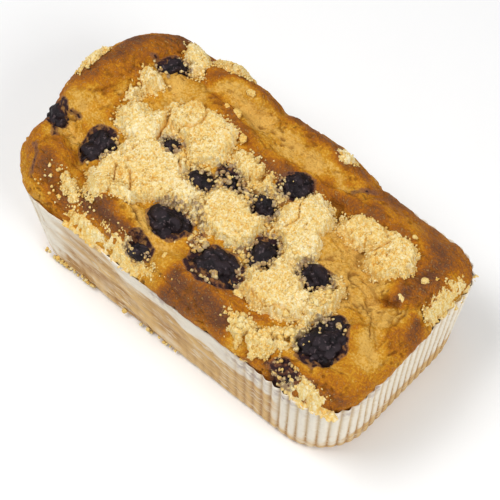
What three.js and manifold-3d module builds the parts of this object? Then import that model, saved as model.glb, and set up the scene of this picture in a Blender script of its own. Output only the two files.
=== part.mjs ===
// A crumb-topped loaf cake with berries, baked in a pleated paper case.
// Millimetres, +Z up. +X runs along the loaf to its low end, -Y is the side where the
// case's pleats are pressed flat, and the origin is the middle of the case's flat base.
import * as THREE from "three";
import { mergeVertices } from "three/addons/utils/BufferGeometryUtils.js";
import Module from "manifold-3d";

const wasm = await Module();
wasm.setup();

// ---------------------------------------------------------------- driving dimensions
const CASE_RIM = { length: 170, width: 94.5, corner: 17 };
const CASE_BASE = { length: 163, width: 88, corner: 23 };
const CASE_HEIGHT = 42;
const RIM_WAVE = 0.5; // the rim's height wanders by this much either way
const RIM_WAVE_LENGTH = { along: 13, across: 11, slant: 37 };
const RIM_WAVE_START = 1.1;
const PAPER = 0.6; // drawn thicker than real paper, so that the case is a solid
const PLEAT_DEPTH = 1.3; // groove to ridge at the rim
const PLEAT_DEPTH_FLAT = 0.5; // the same on the pressed side
const PLEAT_SHARE_AT_FOOT = 0.35; // how deep they still are at the bottom edge
const PRESSED = { y: -40, fade: 6, x: 55, fadeX: 30 }; // where the pressed side begins and ends
const PLEATS_LONG = 36; // pleats on each long side
const PLEATS_SHORT = 20; // and on each end
const GAP = 0.35; // left between neighbouring solids
const BASE_ROUND = 3.2; // how far the case's bottom edge is rounded in
const BASE_BEND = { inset: 0.35, z: 1.44 }; // a point on that rounding
const SHOULDER = 9; // width of the crust's rounded shoulder
const CRUST_MIDDLE = 56; // height of the crust's middle, without its swells
const CRUST_FALL = { along: 3, across: 4, ends: 1.5 }; // from the middle to the low end and edges
const SWELL_SOFTNESS = 0.7; // how softly one swell runs into the next
const SPILL_RISE = 0.85; // a crust that spills over lies higher by this share of the spill
const CRUST_EDGE_RISE = 1.2; // how far the crust's widest line lies above the case's rim
const CURL = { out: 0.82, up: 0.4, least: 0.3 }; // the curl under the crust's edge
const CAKE_HEEL = { inset: 2.2, z: 2.72 }; // the cake's own rounded bottom edge
const CAKE_HEEL_TOP = 5;
const CAKE_FOOT_INSET = 0.8; // further in than the case's rounding
const GRID_LONG = 33; // crust cells along X
const GRID_SHORT = 18; // and along Y
const GRID_DRAW = 0.35; // how far the cells are drawn towards the edges

// Swells of the crust, where the batter rose and browned: middle x, y, half length, half
// width, turn in degrees, height.
const SWELLS = [
  [-78, 15, 37, 15, 75, 9.5], // high dome over the left end
  [-66, -5, 15, 7.5, 62, 4.5], // fold in front of it
  [-38, 41, 22, 9, 6, 6.5], // left half of the back ridge
  [-26, 25, 30, 7.5, -6, 4.5], // inner fold beside the crumb
  [5, 41, 29, 9, -6, 6], // right half of the back ridge
  [47, 30, 36, 10, 5, 5], // ridge at the back of the low end
  [79, -4, 42, 10, 92, 3.5], // rim of the low end
  [68, 10, 10, 8, 30, 4.5], // browned knob
  [78, 6, 9, 7, 90, 4], // browned knob on the end's rim
  [-34, -34.5, 20, 8.5, -4, 6.5], // browned lump at the front
  [13, -40, 26, 10, 2, 6.5], // long browned lump at the front
  [62, -38, 28, 10, 3, 3], // smooth front slope of the low end
  [-69, -34, 14, 12, -30, 5], // lump at the left front corner
  [-84, -26, 9, 8, 60, 4], // small lobe on the left end
  [70, -22, 13, 8, 60, 3], // swell beside the largest berry
];

// Cracks and creases between the swells: depth, half width, then the points they pass.
const CREASES = [
  [2.6, 5, [25, 24], [41, 14], [58, 5], [68, -3], [78, -15]],
  [3, 4, [-78, -18], [-66, -24], [-52, -35]],
  [3, 4, [-21, 34], [-19, 47]],
  [2, 4, [-14, -37], [-19, -46]],
  [6.5, 4.5, [-60, -44.5], [-14, -46]],
  [4.5, 4, [84, 12], [84, 38]],
];

// How far the crust spills over the case beyond its inside wall: x, y, reach, millimetres.
// A negative spill leaves the crust's edge that far below the rim.
const SPILL_EVERYWHERE = 1.2;
const SPILLS = [
  [-84, 14, 24, 9],
  [-84, -6, 12, 4],
  [-84, -29, 8, 3.5],
  [-38, 46, 17, 3],
  [5, 46, 20, 1.8],
  [56, 46, 22, -4.2],
  [84, 26, 11, -3.4],
  [84, -8, 18, 2.2],
  [-36, -46, 22, -2.6],
  [13, -46, 16, 1.6],
  [66, -46, 12, -3.4],
];

// Berries: x, y, half sizes along, across and up, turn, and how far below the crust the
// middle lies.
const BERRIES = {
  berry_left: [-61, -18, 8.8, 6.8, 6, 95, 2.6],
  berry_front_middle: [-16, -25, 9.6, 7.6, 6.5, 5, 2.6],
  berry_front_large: [11, -29, 12, 9.6, 6.5, 8, 2.8],
  berry_low_end: [63.3, -24, 13.4, 9.2, 6.8, 78, 2.8],
  berry_back: [9.2, 18.8, 7.4, 6.6, 6, 60, 2.6],
  berry_middle: [6.8, 3.2, 6.4, 5.2, 5, 150, 2.2],
  berry_centre: [19.5, -11.5, 8.2, 5.8, 5.5, 105, 2.4],
  berry_right: [42.3, -6.8, 7.8, 5.8, 5.5, 5, 2.4],
  berry_under_crumb_left: [-18.5, -3.2, 6.4, 4.4, 4.5, 10, 1.8],
  berry_under_crumb_right: [-12, 4.6, 7, 4, 4.5, 160, 1.8],
  berry_upper_left: [-38.6, 0.6, 4.4, 3.8, 4.2, 10, 2],
  berry_top_corner: [-64, 27.5, 6.8, 4.4, 4.6, 50, 2.6],
  berry_left_end: [-82, -17, 6.2, 5, 5, 70, 2.4],
  berry_front_edge: [-18.5, -39.8, 6, 3.4, 4.4, 12, 2.6],
  berry_low_corner: [58, -43, 5.8, 3, 4, 5, 2.4],
};
const BERRY_COLUMNS = 10;
const BERRY_ROWS = 6;
const DRUPELET = 0.07; // each drupelet stands out by this share of the berry's size
const SOCKET_GAP = 0.4; // left between a berry and the cake or the crumb round it

// Crumb clumps, the largest first: how thick, then flattened lobes of x, y, half length,
// half width and turn. Where two clumps meet, the first keeps the place.
const CLUMPS = {
  crumb_left: [
    4.4,
    [-34, -12.5, 20, 9.5, 2],
    [-52.5, 0.5, 11, 8, 20],
    [-43, -4, 9, 6, 60],
    [-49, -25.5, 7.5, 10.5, 8],
    [-37, -23, 8, 9, 0],
  ],
  crumb_front: [4.6, [34, -20.5, 14.5, 11.5, 5], [50.5, -14, 5, 11, 8]],
  crumb_right: [4.6, [22.5, 9, 9.5, 12, 0], [29, -0.5, 7.5, 8.5, 20]],
  crumb_centre: [4.8, [-3, -10, 11.5, 9.5, 25], [4.5, -8.5, 9, 10.5, 0]],
  crumb_low_end: [4, [43, 20.5, 13, 5, 8], [57, 18, 9.8, 8.8, -5]],
  crumb_upper: [4.4, [-39, 14, 13, 8, 10], [-29, 12, 9.5, 11, 15]],
  crumb_strip: [3.6, [-9, 13, 11, 5.5, -4], [3, 11, 6.5, 3.4, -5]],
  crumb_broken: [3, [36.5, -41.8, 8.5, 5, 3], [46, -38.5, 8, 5, 25], [52, -31, 6.5, 4, 60]],
  crumb_edge: [3, [-40, -44.4, 13, 2.8, 2], [-21, -44.3, 12, 2.8, -2]],
  crumb_top_corner: [3.4, [-60.5, 38.5, 8, 5, -50]],
  crumb_top_small: [3, [-64.3, 17, 4, 4.6, 0]],
  crumb_fold: [2.6, [-65.5, 7, 2.6, 4.2, 5]],
  crumb_behind: [4.4, [-46, 45.5, 7.5, 3.8, 5]],
  crumb_left_rim: [3.2, [-90, 10, 3.4, 7.5, 5]],
  crumb_left_corner: [2.4, [-57.5, -38.2, 5, 2.6, -12]],
  crumb_low_corner: [2.6, [70, -44, 11, 2.6, 3]],
  crumb_low_rim: [2.8, [82.3, 24, 2.6, 14, 1]],
  crumb_back_rim: [2.6, [15.5, 43, 3.2, 3, 0]],
};

const LOBE_COLUMNS = 12;
const LOBE_ROWS = 6;

const LOOSE_CRUMBS = 8;
const LOOSE_CRUMB_SEED = 20;
const LOOSE_CRUMB_SIZE = [1, 1.7]; // smallest and largest half size
const LOOSE_CRUMB_SHAPE = [1.2, 0.9, 0.8]; // times that size along, across and up
const LOOSE_CRUMB_LIFT = 0.25; // its middle lies above the crust by this share of its size
const LOOSE_CRUMB_NEAREST = 2.4; // to the edge of a clump
const LOOSE_CRUMB_FARTHEST = 9;
const LOOSE_CRUMB_SPACING = 5;
const LOOSE_CRUMB_FROM_BERRY = 3;
const LOOSE_CRUMB_FROM_WALL = 3;

// ---------------------------------------------------------------- small helpers
const MERGE_WITHIN = 1e-4; // vertices nearer than this are one
const radians = (degrees) => (degrees * Math.PI) / 180;
const mix = (a, b, t) => a + (b - a) * t;
const clamp = (x, low, high) => Math.min(high, Math.max(low, x));

// How far a point lies from an ellipse's middle, where 1 is on the ellipse. The ellipse is
// given by its middle, its half length and half width, and its turn in degrees.
function ellipseDistance(x, y, [cx, cy, a, b, turn]) {
  const c = Math.cos(radians(turn));
  const s = Math.sin(radians(turn));
  const dx = x - cx;
  const dy = y - cy;
  return Math.hypot((dx * c + dy * s) / a, (dy * c - dx * s) / b);
}

function distanceToPath(x, y, points) {
  let nearest = Infinity;
  for (let i = 1; i < points.length; i++) {
    const [ax, ay] = points[i - 1];
    const [bx, by] = points[i];
    const share = ((x - ax) * (bx - ax) + (y - ay) * (by - ay)) / ((bx - ax) ** 2 + (by - ay) ** 2);
    const t = clamp(share, 0, 1);
    nearest = Math.min(nearest, Math.hypot(x - mix(ax, bx, t), y - mix(ay, by, t)));
  }
  return nearest;
}

// A repeatable sequence of numbers from 0 to 1.
function seeded(seed) {
  let state = seed;
  return () => {
    state = (state * 16807) % 2147483647;
    return state / 2147483647;
  };
}

// A closed solid from rings of points, each ring with as many points as the last. The first
// and last rings are closed by a fan to their middles.
function solidFromRings(rings) {
  const count = rings[0].length;
  const points = rings.flat();
  const triangles = [];
  for (let r = 1; r < rings.length; r++) {
    for (let i = 0; i < count; i++) {
      const a = (r - 1) * count + i;
      const b = (r - 1) * count + ((i + 1) % count);
      triangles.push(a, b, b + count, a, b + count, a + count);
    }
  }
  const middleOf = (ring) =>
    ring.reduce((sum, p) => sum.map((v, k) => v + p[k] / count), [0, 0, 0]);
  const last = (rings.length - 1) * count;
  points.push(middleOf(rings[0]), middleOf(rings.at(-1)));
  for (let i = 0; i < count; i++) {
    const next = (i + 1) % count;
    triangles.push(points.length - 2, next, i);
    triangles.push(points.length - 1, last + i, last + next);
  }
  return solidFrom(points, triangles);
}

function solidFrom(points, triangles) {
  return solidFromArrays(new Float32Array(points.flat()), new Uint32Array(triangles));
}

function solidFromArrays(vertProperties, triVerts) {
  return new wasm.Manifold(new wasm.Mesh({ numProp: 3, vertProperties, triVerts }));
}

function solidFromGeometry(geometry) {
  const bare = new THREE.BufferGeometry();
  bare.setAttribute("position", geometry.getAttribute("position"));
  bare.setIndex(geometry.getIndex());
  const merged = mergeVertices(bare, MERGE_WITHIN);
  const position = merged.getAttribute("position");
  return solidFromArrays(position.array, new Uint32Array(merged.getIndex().array));
}

function largestPiece(solid) {
  const pieces = solid.decompose();
  return pieces.sort((a, b) => b.volume() - a.volume())[0];
}

// ---------------------------------------------------------------- the case's outline
// Sides run anticlockwise from the +X end. Along each side, place goes from -1 to 1 between
// the middles of its two rounded corners, evenly in length.
const SIDES = [0, 1, 2, 3];

function outlinePoint(side, place, { length, width, corner }) {
  const isEnd = side % 2 === 0;
  const reach = (isEnd ? length : width) / 2;
  const straight = (isEnd ? width : length) / 2 - corner;
  const travelled = Math.abs(place) * (straight + (corner * Math.PI) / 4);
  const angle = Math.max(0, travelled - straight) / corner;
  const along = Math.sign(place) * (Math.min(travelled, straight) + corner * Math.sin(angle));
  const out = reach - corner + corner * Math.cos(angle);
  const normalAlong = Math.sign(place) * Math.sin(angle);
  const normalOut = Math.cos(angle);
  const turn = radians(90 * side);
  const [c, s] = [Math.cos(turn), Math.sin(turn)];
  return {
    x: out * c - along * s,
    y: out * s + along * c,
    nx: normalOut * c - normalAlong * s,
    ny: normalOut * s + normalAlong * c,
  };
}

function caseOutline(z, inset = 0) {
  const t = z / CASE_HEIGHT;
  return {
    length: mix(CASE_BASE.length, CASE_RIM.length, t) - 2 * inset,
    width: mix(CASE_BASE.width, CASE_RIM.width, t) - 2 * inset,
    corner: mix(CASE_BASE.corner, CASE_RIM.corner, t) - inset,
  };
}

// The cake's own wall stands this far inside the middle line of the pleats.
const WALL_INSET = PLEAT_DEPTH / 2 + PAPER + GAP;
const WALL = caseOutline(CASE_HEIGHT, WALL_INSET);

function rimHeight(x, y) {
  const { along, across, slant } = RIM_WAVE_LENGTH;
  const wave = Math.sin(x / along + RIM_WAVE_START) * Math.cos(y / across - x / slant);
  return CASE_HEIGHT + RIM_WAVE * wave;
}

// ---------------------------------------------------------------- the crust
// The nearest point of the cake's wall, seen from above, and how far inside it a point lies.
function nearestWall(x, y) {
  const hx = WALL.length / 2 - WALL.corner;
  const hy = WALL.width / 2 - WALL.corner;
  const cx = clamp(x, -hx, hx);
  const cy = clamp(y, -hy, hy);
  const reach = Math.hypot(x - cx, y - cy);
  if (reach > 1e-6) {
    const k = WALL.corner / reach;
    return { x: cx + (x - cx) * k, y: cy + (y - cy) * k, inside: WALL.corner - reach };
  }
  const toEnd = WALL.length / 2 - Math.abs(x);
  const toSide = WALL.width / 2 - Math.abs(y);
  if (toEnd < toSide) return { x: Math.sign(x) * (WALL.length / 2), y, inside: toEnd };
  return { x, y: Math.sign(y || 1) * (WALL.width / 2), inside: toSide };
}

function spill(x, y) {
  const each = SPILLS.map(([sx, sy, reach, amount]) => {
    const d = Math.hypot(x - sx, y - sy) / reach;
    return amount * Math.exp(-d * d);
  });
  return SPILL_EVERYWHERE + each.reduce((sum, v) => sum + v, 0);
}

// The crust without its shoulder: a dome, the largest of the swells, and the creases cut in.
function crown(x, y) {
  const u = x / (CASE_RIM.length / 2);
  const v = y / (CASE_RIM.width / 2);
  const dome =
    CRUST_MIDDLE - CRUST_FALL.along * u - CRUST_FALL.across * v ** 2 - CRUST_FALL.ends * u ** 4;
  const heights = SWELLS.map((s) => s[5] * Math.max(-1, 1 - ellipseDistance(x, y, s) ** 2));
  const total = heights.reduce((sum, h) => sum + Math.exp(h / SWELL_SOFTNESS), 1);
  const crease = CREASES.reduce((sum, [depth, reach, ...points]) => {
    const d = distanceToPath(x, y, points) / reach;
    return sum + depth * Math.exp(-d * d);
  }, 0);
  return dome + SWELL_SOFTNESS * Math.log(total) - crease;
}

// The height of the crust's widest line, which the shoulder curves down to.
function edgeHeight(spilled) {
  const rim = CASE_HEIGHT + RIM_WAVE + CRUST_EDGE_RISE;
  return spilled > 0 ? rim + SPILL_RISE * spilled : rim + spilled;
}

function crustHeight(x, y) {
  const wall = nearestWall(x, y);
  const spilled = spill(wall.x, wall.y);
  const inside = wall.inside + Math.max(0, spilled);
  const t = clamp(1 - inside / SHOULDER, 0, 1);
  const edge = edgeHeight(spilled);
  return edge + (crown(x, y) - edge) * Math.sqrt(1 - t * t);
}

// Evenly stepped places from -1 to 1, drawn a little towards both ends.
function gridPlaces(cells) {
  const places = [];
  for (let i = 0; i <= cells; i++) {
    const even = (2 * i) / cells - 1;
    places.push(mix(even, Math.sin((even * Math.PI) / 2), GRID_DRAW));
  }
  return places;
}

// Side and place on that side of a point on the edge of the square from -1 to 1.
function squareEdge(u, v) {
  if (Math.abs(u) >= Math.abs(v)) return u > 0 ? [0, v / u] : [2, v / u];
  return v > 0 ? [1, -u / v] : [3, -u / v];
}

function crustEdge(side, place) {
  const p = outlinePoint(side, place, WALL);
  const spilled = Math.max(0, spill(p.x, p.y));
  return { ...p, x: p.x + p.nx * spilled, y: p.y + p.ny * spilled };
}

// A point of the crust for a place in the square from -1 to 1.
function crustPoint(u, v) {
  const m = Math.max(Math.abs(u), Math.abs(v));
  if (m === 0) return [0, 0, crustHeight(0, 0)];
  const [side, place] = squareEdge(u, v);
  const edge = crustEdge(side, place);
  const box = [(u / m) * (CASE_RIM.length / 2), (v / m) * (CASE_RIM.width / 2)];
  const x = m * mix(box[0], edge.x, m ** 2);
  const y = m * mix(box[1], edge.y, m ** 2);
  return [x, y, crustHeight(x, y)];
}

// Rings of points down the cake's side for one place on its edge: under the spilled crust,
// in at the rim, and down the wall to the base.
function sideColumn(side, place) {
  const wall = outlinePoint(side, place, WALL);
  const spilled = spill(wall.x, wall.y);
  const over = Math.max(0, spilled);
  const edge = edgeHeight(spilled);
  const neck = Math.min(edge - CURL.least, rimHeight(wall.x, wall.y) + GAP + CURL.least);
  const under = (offset, z) => [wall.x + wall.nx * offset, wall.y + wall.ny * offset, z];
  const below = (inset, z, outlineZ = z) => {
    const p = outlinePoint(side, place, caseOutline(outlineZ, WALL_INSET + inset));
    return [p.x, p.y, z];
  };
  return [
    under(over * CURL.out, mix(neck, edge, CURL.up)),
    under(0, neck),
    below(0, CAKE_HEEL_TOP),
    below(CAKE_HEEL.inset, CAKE_HEEL.z),
    below(BASE_ROUND + CAKE_FOOT_INSET, PAPER + GAP, 0),
  ];
}

function makeCake() {
  const us = gridPlaces(GRID_LONG);
  const vs = gridPlaces(GRID_SHORT);
  const points = [];
  const triangles = [];
  const index = (i, j) => i * (GRID_SHORT + 1) + j;
  for (const u of us) {
    for (const v of vs) points.push(crustPoint(u, v));
  }
  for (let i = 0; i < GRID_LONG; i++) {
    for (let j = 0; j < GRID_SHORT; j++) {
      const [a, b, c, d] = [index(i, j), index(i + 1, j), index(i + 1, j + 1), index(i, j + 1)];
      if ((i + j) % 2) triangles.push(a, b, c, a, c, d);
      else triangles.push(a, b, d, b, c, d);
    }
  }
  // The grid's edge, anticlockwise from the corner at +X, -Y, with each point's place.
  const rim = [];
  for (let j = 0; j < GRID_SHORT; j++) rim.push([index(GRID_LONG, j), 0, vs[j]]);
  for (let i = GRID_LONG; i > 0; i--) rim.push([index(i, GRID_SHORT), 1, -us[i]]);
  for (let j = GRID_SHORT; j > 0; j--) rim.push([index(0, j), 2, -vs[j]]);
  for (let i = 0; i < GRID_LONG; i++) rim.push([index(i, 0), 3, us[i]]);
  let above = rim.map(([at]) => at);
  const columns = rim.map(([, side, place]) => sideColumn(side, place));
  for (let row = 0; row < columns[0].length; row++) {
    const below = columns.map((column) => points.push(column[row]) - 1);
    for (let i = 0; i < rim.length; i++) {
      const n = (i + 1) % rim.length;
      triangles.push(below[i], below[n], above[n], below[i], above[n], above[i]);
    }
    above = below;
  }
  const middle = points.push([0, 0, PAPER + GAP]) - 1;
  for (let i = 0; i < rim.length; i++) {
    triangles.push(middle, above[(i + 1) % rim.length], above[i]);
  }
  return solidFrom(points, triangles);
}

// ---------------------------------------------------------------- the paper case
function pleatColumns() {
  const columns = [];
  for (const side of SIDES) {
    const pleats = side % 2 ? PLEATS_LONG : PLEATS_SHORT;
    for (let k = 0; k < 2 * pleats; k++) {
      columns.push({ side, place: k / pleats - 1, ridge: k % 2 ? 0.5 : -0.5 });
    }
  }
  return columns;
}

// How deep the pleats are at a point of the rim: they lie flat along the pressed side.
function pleatDepth(x, y) {
  const bySide = clamp((PRESSED.y - y) / PRESSED.fade, 0, 1);
  const pressed = bySide * clamp((PRESSED.x - x) / PRESSED.fadeX, 0, 1);
  return mix(PLEAT_DEPTH, PLEAT_DEPTH_FLAT, pressed);
}

function makeCase() {
  const ring = (z, inset, isRim = false) =>
    pleatColumns().map(({ side, place, ridge }) => {
      const p = outlinePoint(side, place, caseOutline(z, inset));
      const depth = pleatDepth(p.x, p.y) * mix(PLEAT_SHARE_AT_FOOT, 1, z / CASE_HEIGHT);
      const shift = ridge * depth;
      return [p.x + p.nx * shift, p.y + p.ny * shift, isRim ? rimHeight(p.x, p.y) : z];
    });
  return solidFromRings([
    ring(0, BASE_ROUND),
    ring(BASE_BEND.z, BASE_BEND.inset),
    ring(CASE_HEIGHT, 0, true),
    ring(CASE_HEIGHT, PAPER, true),
    ring(BASE_BEND.z + PAPER / 2, PAPER + BASE_BEND.inset),
    ring(PAPER, PAPER + BASE_ROUND),
  ]);
}

// The space at and outside the case's wall, up to just above the rim, that crumb keeps clear of.
function roomForCase() {
  const height = CASE_HEIGHT + RIM_WAVE + GAP;
  const block = new THREE.BoxGeometry(2 * CASE_RIM.length, 2 * CASE_RIM.width, height);
  block.translate(0, 0, height / 2);
  const wall = (z) =>
    pleatColumns().map(({ side, place }) => {
      const p = outlinePoint(side, place, WALL);
      return [p.x, p.y, z];
    });
  return solidFromGeometry(block).subtract(solidFromRings([wall(-1), wall(height + 1)]));
}

// ---------------------------------------------------------------- berries
// A berry's ellipsoid, larger by extra all round, with every other point raised by bump.
function ellipsoid([x, y, a, b, c, turn, sink], extra, bump) {
  const sphere = new THREE.SphereGeometry(1, BERRY_COLUMNS, BERRY_ROWS);
  const position = sphere.getAttribute("position");
  for (let row = 1; row < BERRY_ROWS; row++) {
    for (let column = 0; column <= BERRY_COLUMNS; column++) {
      const at = row * (BERRY_COLUMNS + 1) + column;
      const size = 1 + ((row + column) % 2 ? bump : -bump);
      const point = new THREE.Vector3().fromBufferAttribute(position, at).multiplyScalar(size);
      position.setXYZ(at, ...point);
    }
  }
  sphere.rotateX(Math.PI / 2);
  sphere.scale(a + extra, b + extra, c + extra);
  sphere.rotateZ(radians(turn));
  sphere.translate(x, y, crustHeight(x, y) - sink);
  return solidFromGeometry(sphere);
}

// ---------------------------------------------------------------- crumb clumps
// A flattened lobe of crumb that follows the crust: its middle plane lies on the crust.
function crumbLobe([x, y, a, b, turn], thick, extra) {
  const lobe = new THREE.SphereGeometry(1, LOBE_COLUMNS, LOBE_ROWS);
  lobe.rotateX(Math.PI / 2);
  const position = lobe.getAttribute("position");
  const [c, s] = [Math.cos(radians(turn)), Math.sin(radians(turn))];
  for (let at = 0; at < position.count; at++) {
    const along = position.getX(at) * (a + extra);
    const across = position.getY(at) * (b + extra);
    const level = position.getZ(at);
    const up = Math.sign(level) * Math.sqrt(Math.abs(level)) * (thick + extra);
    const [px, py] = [x + along * c - across * s, y + along * s + across * c];
    position.setXYZ(at, px, py, crustHeight(px, py) + up);
  }
  return solidFromGeometry(lobe);
}

function crumbClump([thick, ...lobes], extra) {
  return wasm.Manifold.union(lobes.map((lobe) => crumbLobe(lobe, thick, extra)));
}

// ---------------------------------------------------------------- loose crumbs
// Places for small crumbs, near a clump but clear of every clump and berry.
function loosePlaces() {
  const random = seeded(LOOSE_CRUMB_SEED);
  const lobes = Object.values(CLUMPS).flatMap(([, ...each]) => each);
  const places = [];
  while (places.length < LOOSE_CRUMBS) {
    const x = mix(-CASE_BASE.length / 2, CASE_BASE.length / 2, random());
    const y = mix(-CASE_BASE.width / 2, CASE_BASE.width / 2, random());
    const size = mix(...LOOSE_CRUMB_SIZE, random());
    const beyondLobe = (lobe) => (ellipseDistance(x, y, lobe) - 1) * Math.min(lobe[2], lobe[3]);
    const beyondBerry = ([bx, by, a]) => Math.hypot(x - bx, y - by) - a;
    const fromClump = Math.min(...lobes.map(beyondLobe));
    const fromBerry = Math.min(...Object.values(BERRIES).map(beyondBerry));
    const fromOther = Math.min(...places.map((p) => Math.hypot(x - p.x, y - p.y)));
    if (fromClump < LOOSE_CRUMB_NEAREST || fromClump > LOOSE_CRUMB_FARTHEST) continue;
    if (fromBerry < LOOSE_CRUMB_FROM_BERRY || fromOther < LOOSE_CRUMB_SPACING) continue;
    if (nearestWall(x, y).inside < LOOSE_CRUMB_FROM_WALL) continue;
    places.push({ x, y, size });
  }
  return places;
}

function looseCrumb({ x, y, size }) {
  const crumb = new THREE.IcosahedronGeometry(size, 0);
  crumb.scale(...LOOSE_CRUMB_SHAPE);
  crumb.rotateZ(x);
  crumb.translate(x, y, crustHeight(x, y) + size * LOOSE_CRUMB_LIFT);
  return solidFromGeometry(crumb);
}

// ---------------------------------------------------------------- materials and assembly
const material = (color, roughness) => new THREE.MeshStandardMaterial({ color, roughness, metalness: 0 });
const CRUST_MATERIAL = material(0xb8742a, 0.75);
const PAPER_MATERIAL = material(0xdcc9a6, 0.8);
const BERRY_MATERIAL = material(0x221b24, 0.7);
const CRUMB_MATERIAL = material(0xecd08a, 0.95);

function meshOf(name, solid, look) {
  const made = solid.getMesh();
  const geometry = new THREE.BufferGeometry();
  geometry.setAttribute("position", new THREE.BufferAttribute(made.vertProperties, 3));
  geometry.setIndex(new THREE.BufferAttribute(made.triVerts, 1));
  geometry.computeVertexNormals();
  const mesh = new THREE.Mesh(geometry, look);
  mesh.name = name;
  return mesh;
}

const sockets = Object.values(BERRIES).map((berry) => ellipsoid(berry, SOCKET_GAP + DRUPELET * berry[2], 0));
const allSockets = wasm.Manifold.union(sockets);
const bareCake = makeCake();
const crumbs = loosePlaces().map(looseCrumb);
const roomForCake = bareCake.scale([1 + (2 * GAP) / CASE_RIM.length, 1 + (2 * GAP) / CASE_RIM.width, 1]);
const raisedCake = roomForCake.translate([0, 0, GAP]).add(bareCake);

const group = new THREE.Group();
const cake = wasm.Manifold.union([bareCake, ...crumbs]).subtract(allSockets);
group.add(meshOf("cake", largestPiece(cake), CRUST_MATERIAL));
group.add(meshOf("paper_case", makeCase(), PAPER_MATERIAL));
for (const [name, berry] of Object.entries(BERRIES)) {
  group.add(meshOf(name, ellipsoid(berry, 0, DRUPELET), BERRY_MATERIAL));
}
let taken = raisedCake.add(allSockets).add(roomForCase());
for (const [name, clump] of Object.entries(CLUMPS)) {
  group.add(meshOf(name, largestPiece(crumbClump(clump, 0).subtract(taken)), CRUMB_MATERIAL));
  taken = taken.add(crumbClump(clump, GAP));
}

export default group;
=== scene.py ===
"""Looks of a crumb-topped berry loaf cake, baked in its pleated paper case.

Shapes are worked out in millimetres and turned into metres when a mesh is made. +X runs
along the loaf to its low end, and -Y is the side where the case's pleats are pressed flat.
"""

import math

import bmesh
import bpy
import numpy as np
from mathutils import Matrix, Vector


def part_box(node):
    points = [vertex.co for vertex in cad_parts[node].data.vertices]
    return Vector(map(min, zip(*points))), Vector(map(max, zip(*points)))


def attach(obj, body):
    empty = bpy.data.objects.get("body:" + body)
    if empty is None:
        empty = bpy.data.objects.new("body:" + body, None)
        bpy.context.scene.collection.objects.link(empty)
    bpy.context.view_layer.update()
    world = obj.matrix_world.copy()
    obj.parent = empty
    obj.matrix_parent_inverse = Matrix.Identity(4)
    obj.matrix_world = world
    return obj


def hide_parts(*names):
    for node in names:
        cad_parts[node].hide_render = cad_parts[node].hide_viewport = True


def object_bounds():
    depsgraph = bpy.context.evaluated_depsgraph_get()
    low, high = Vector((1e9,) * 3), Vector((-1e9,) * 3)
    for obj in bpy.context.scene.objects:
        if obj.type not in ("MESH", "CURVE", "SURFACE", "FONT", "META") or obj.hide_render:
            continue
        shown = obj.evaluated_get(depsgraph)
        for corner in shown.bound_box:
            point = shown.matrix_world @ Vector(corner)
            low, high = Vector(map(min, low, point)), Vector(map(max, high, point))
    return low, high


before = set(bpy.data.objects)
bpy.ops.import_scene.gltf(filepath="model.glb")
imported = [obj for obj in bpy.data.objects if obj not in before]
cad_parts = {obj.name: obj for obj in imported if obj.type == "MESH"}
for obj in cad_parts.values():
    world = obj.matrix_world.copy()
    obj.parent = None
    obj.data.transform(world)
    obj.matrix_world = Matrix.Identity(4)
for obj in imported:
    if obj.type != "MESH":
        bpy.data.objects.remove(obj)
cad_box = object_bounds()

MM = 0.001
INSIDE_BOX = (np.array(cad_box[0]) / MM, np.array(cad_box[1]) / MM)


# ---------------------------------------------------------------- numbers shared by the shapes
# The case, as in the model that this dresses.
CASE_RIM = {"length": 170.0, "width": 94.5, "corner": 17.0}
CASE_BASE = {"length": 163.0, "width": 88.0, "corner": 23.0}
CASE_HEIGHT = 42.0
CASE_FLOOR = 0.95
RIM_WAVE = 0.5
BASE_ROUND = 3.2
PLEAT_DEPTH = 1.3
PLEATS_LONG = 36
PLEATS_SHORT = 20
WALL_INSET = 1.6
SHOULDER = 9.0
CRUST_MIDDLE = 56.0
CRUST_EDGE_RISE = 1.2
SPILL_EVERYWHERE = 1.2

# Swells of the crust: middle x, y, half length, half width, turn in degrees, height.
SWELLS = [
    (-78, 15, 37, 15, 75, 9.5),
    (-66, -5, 15, 7.5, 62, 4.5),
    (-38, 41, 22, 9, 6, 6.5),
    (-26, 25, 30, 7.5, -6, 4.5),
    (5, 41, 29, 9, -6, 6),
    (47, 30, 36, 10, 5, 5),
    (79, -4, 42, 10, 92, 3.5),
    (68, 10, 10, 8, 30, 4.5),
    (78, 6, 9, 7, 90, 4),
    (-34, -34.5, 20, 8.5, -4, 6.5),
    (13, -40, 26, 10, 2, 6.5),
    (62, -38, 28, 10, 3, 3),
    (-69, -34, 14, 12, -30, 5),
    (-84, -26, 9, 8, 60, 4),
    (70, -22, 13, 8, 60, 3),
]
SWELL_SOFTNESS = 0.7

# Creases between the swells, and finer cracks: depth, half width, then points.
CREASES = [
    (2.6, 5, (25, 24), (41, 14), (58, 5), (68, -3), (78, -15)),
    (3, 4, (-78, -18), (-66, -24), (-52, -35)),
    (3, 4, (-21, 34), (-19, 47)),
    (2, 4, (-14, -37), (-19, -46)),
    (6.5, 4.5, (-60, -44.5), (-14, -46)),
    (4.5, 4, (84, 12), (84, 38)),
]

# How far the crust spills over the case: x, y, reach, millimetres.
SPILLS = [
    (-84, 14, 24, 9),
    (-84, -6, 12, 4),
    (-84, -29, 8, 3.5),
    (-38, 46, 17, 3),
    (5, 46, 20, 1.8),
    (56, 46, 22, -4.2),
    (84, 26, 11, -3.4),
    (84, -8, 18, 2.2),
    (-36, -46, 22, -2.6),
    (13, -46, 16, 1.6),
    (66, -46, 12, -3.4),
]

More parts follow.
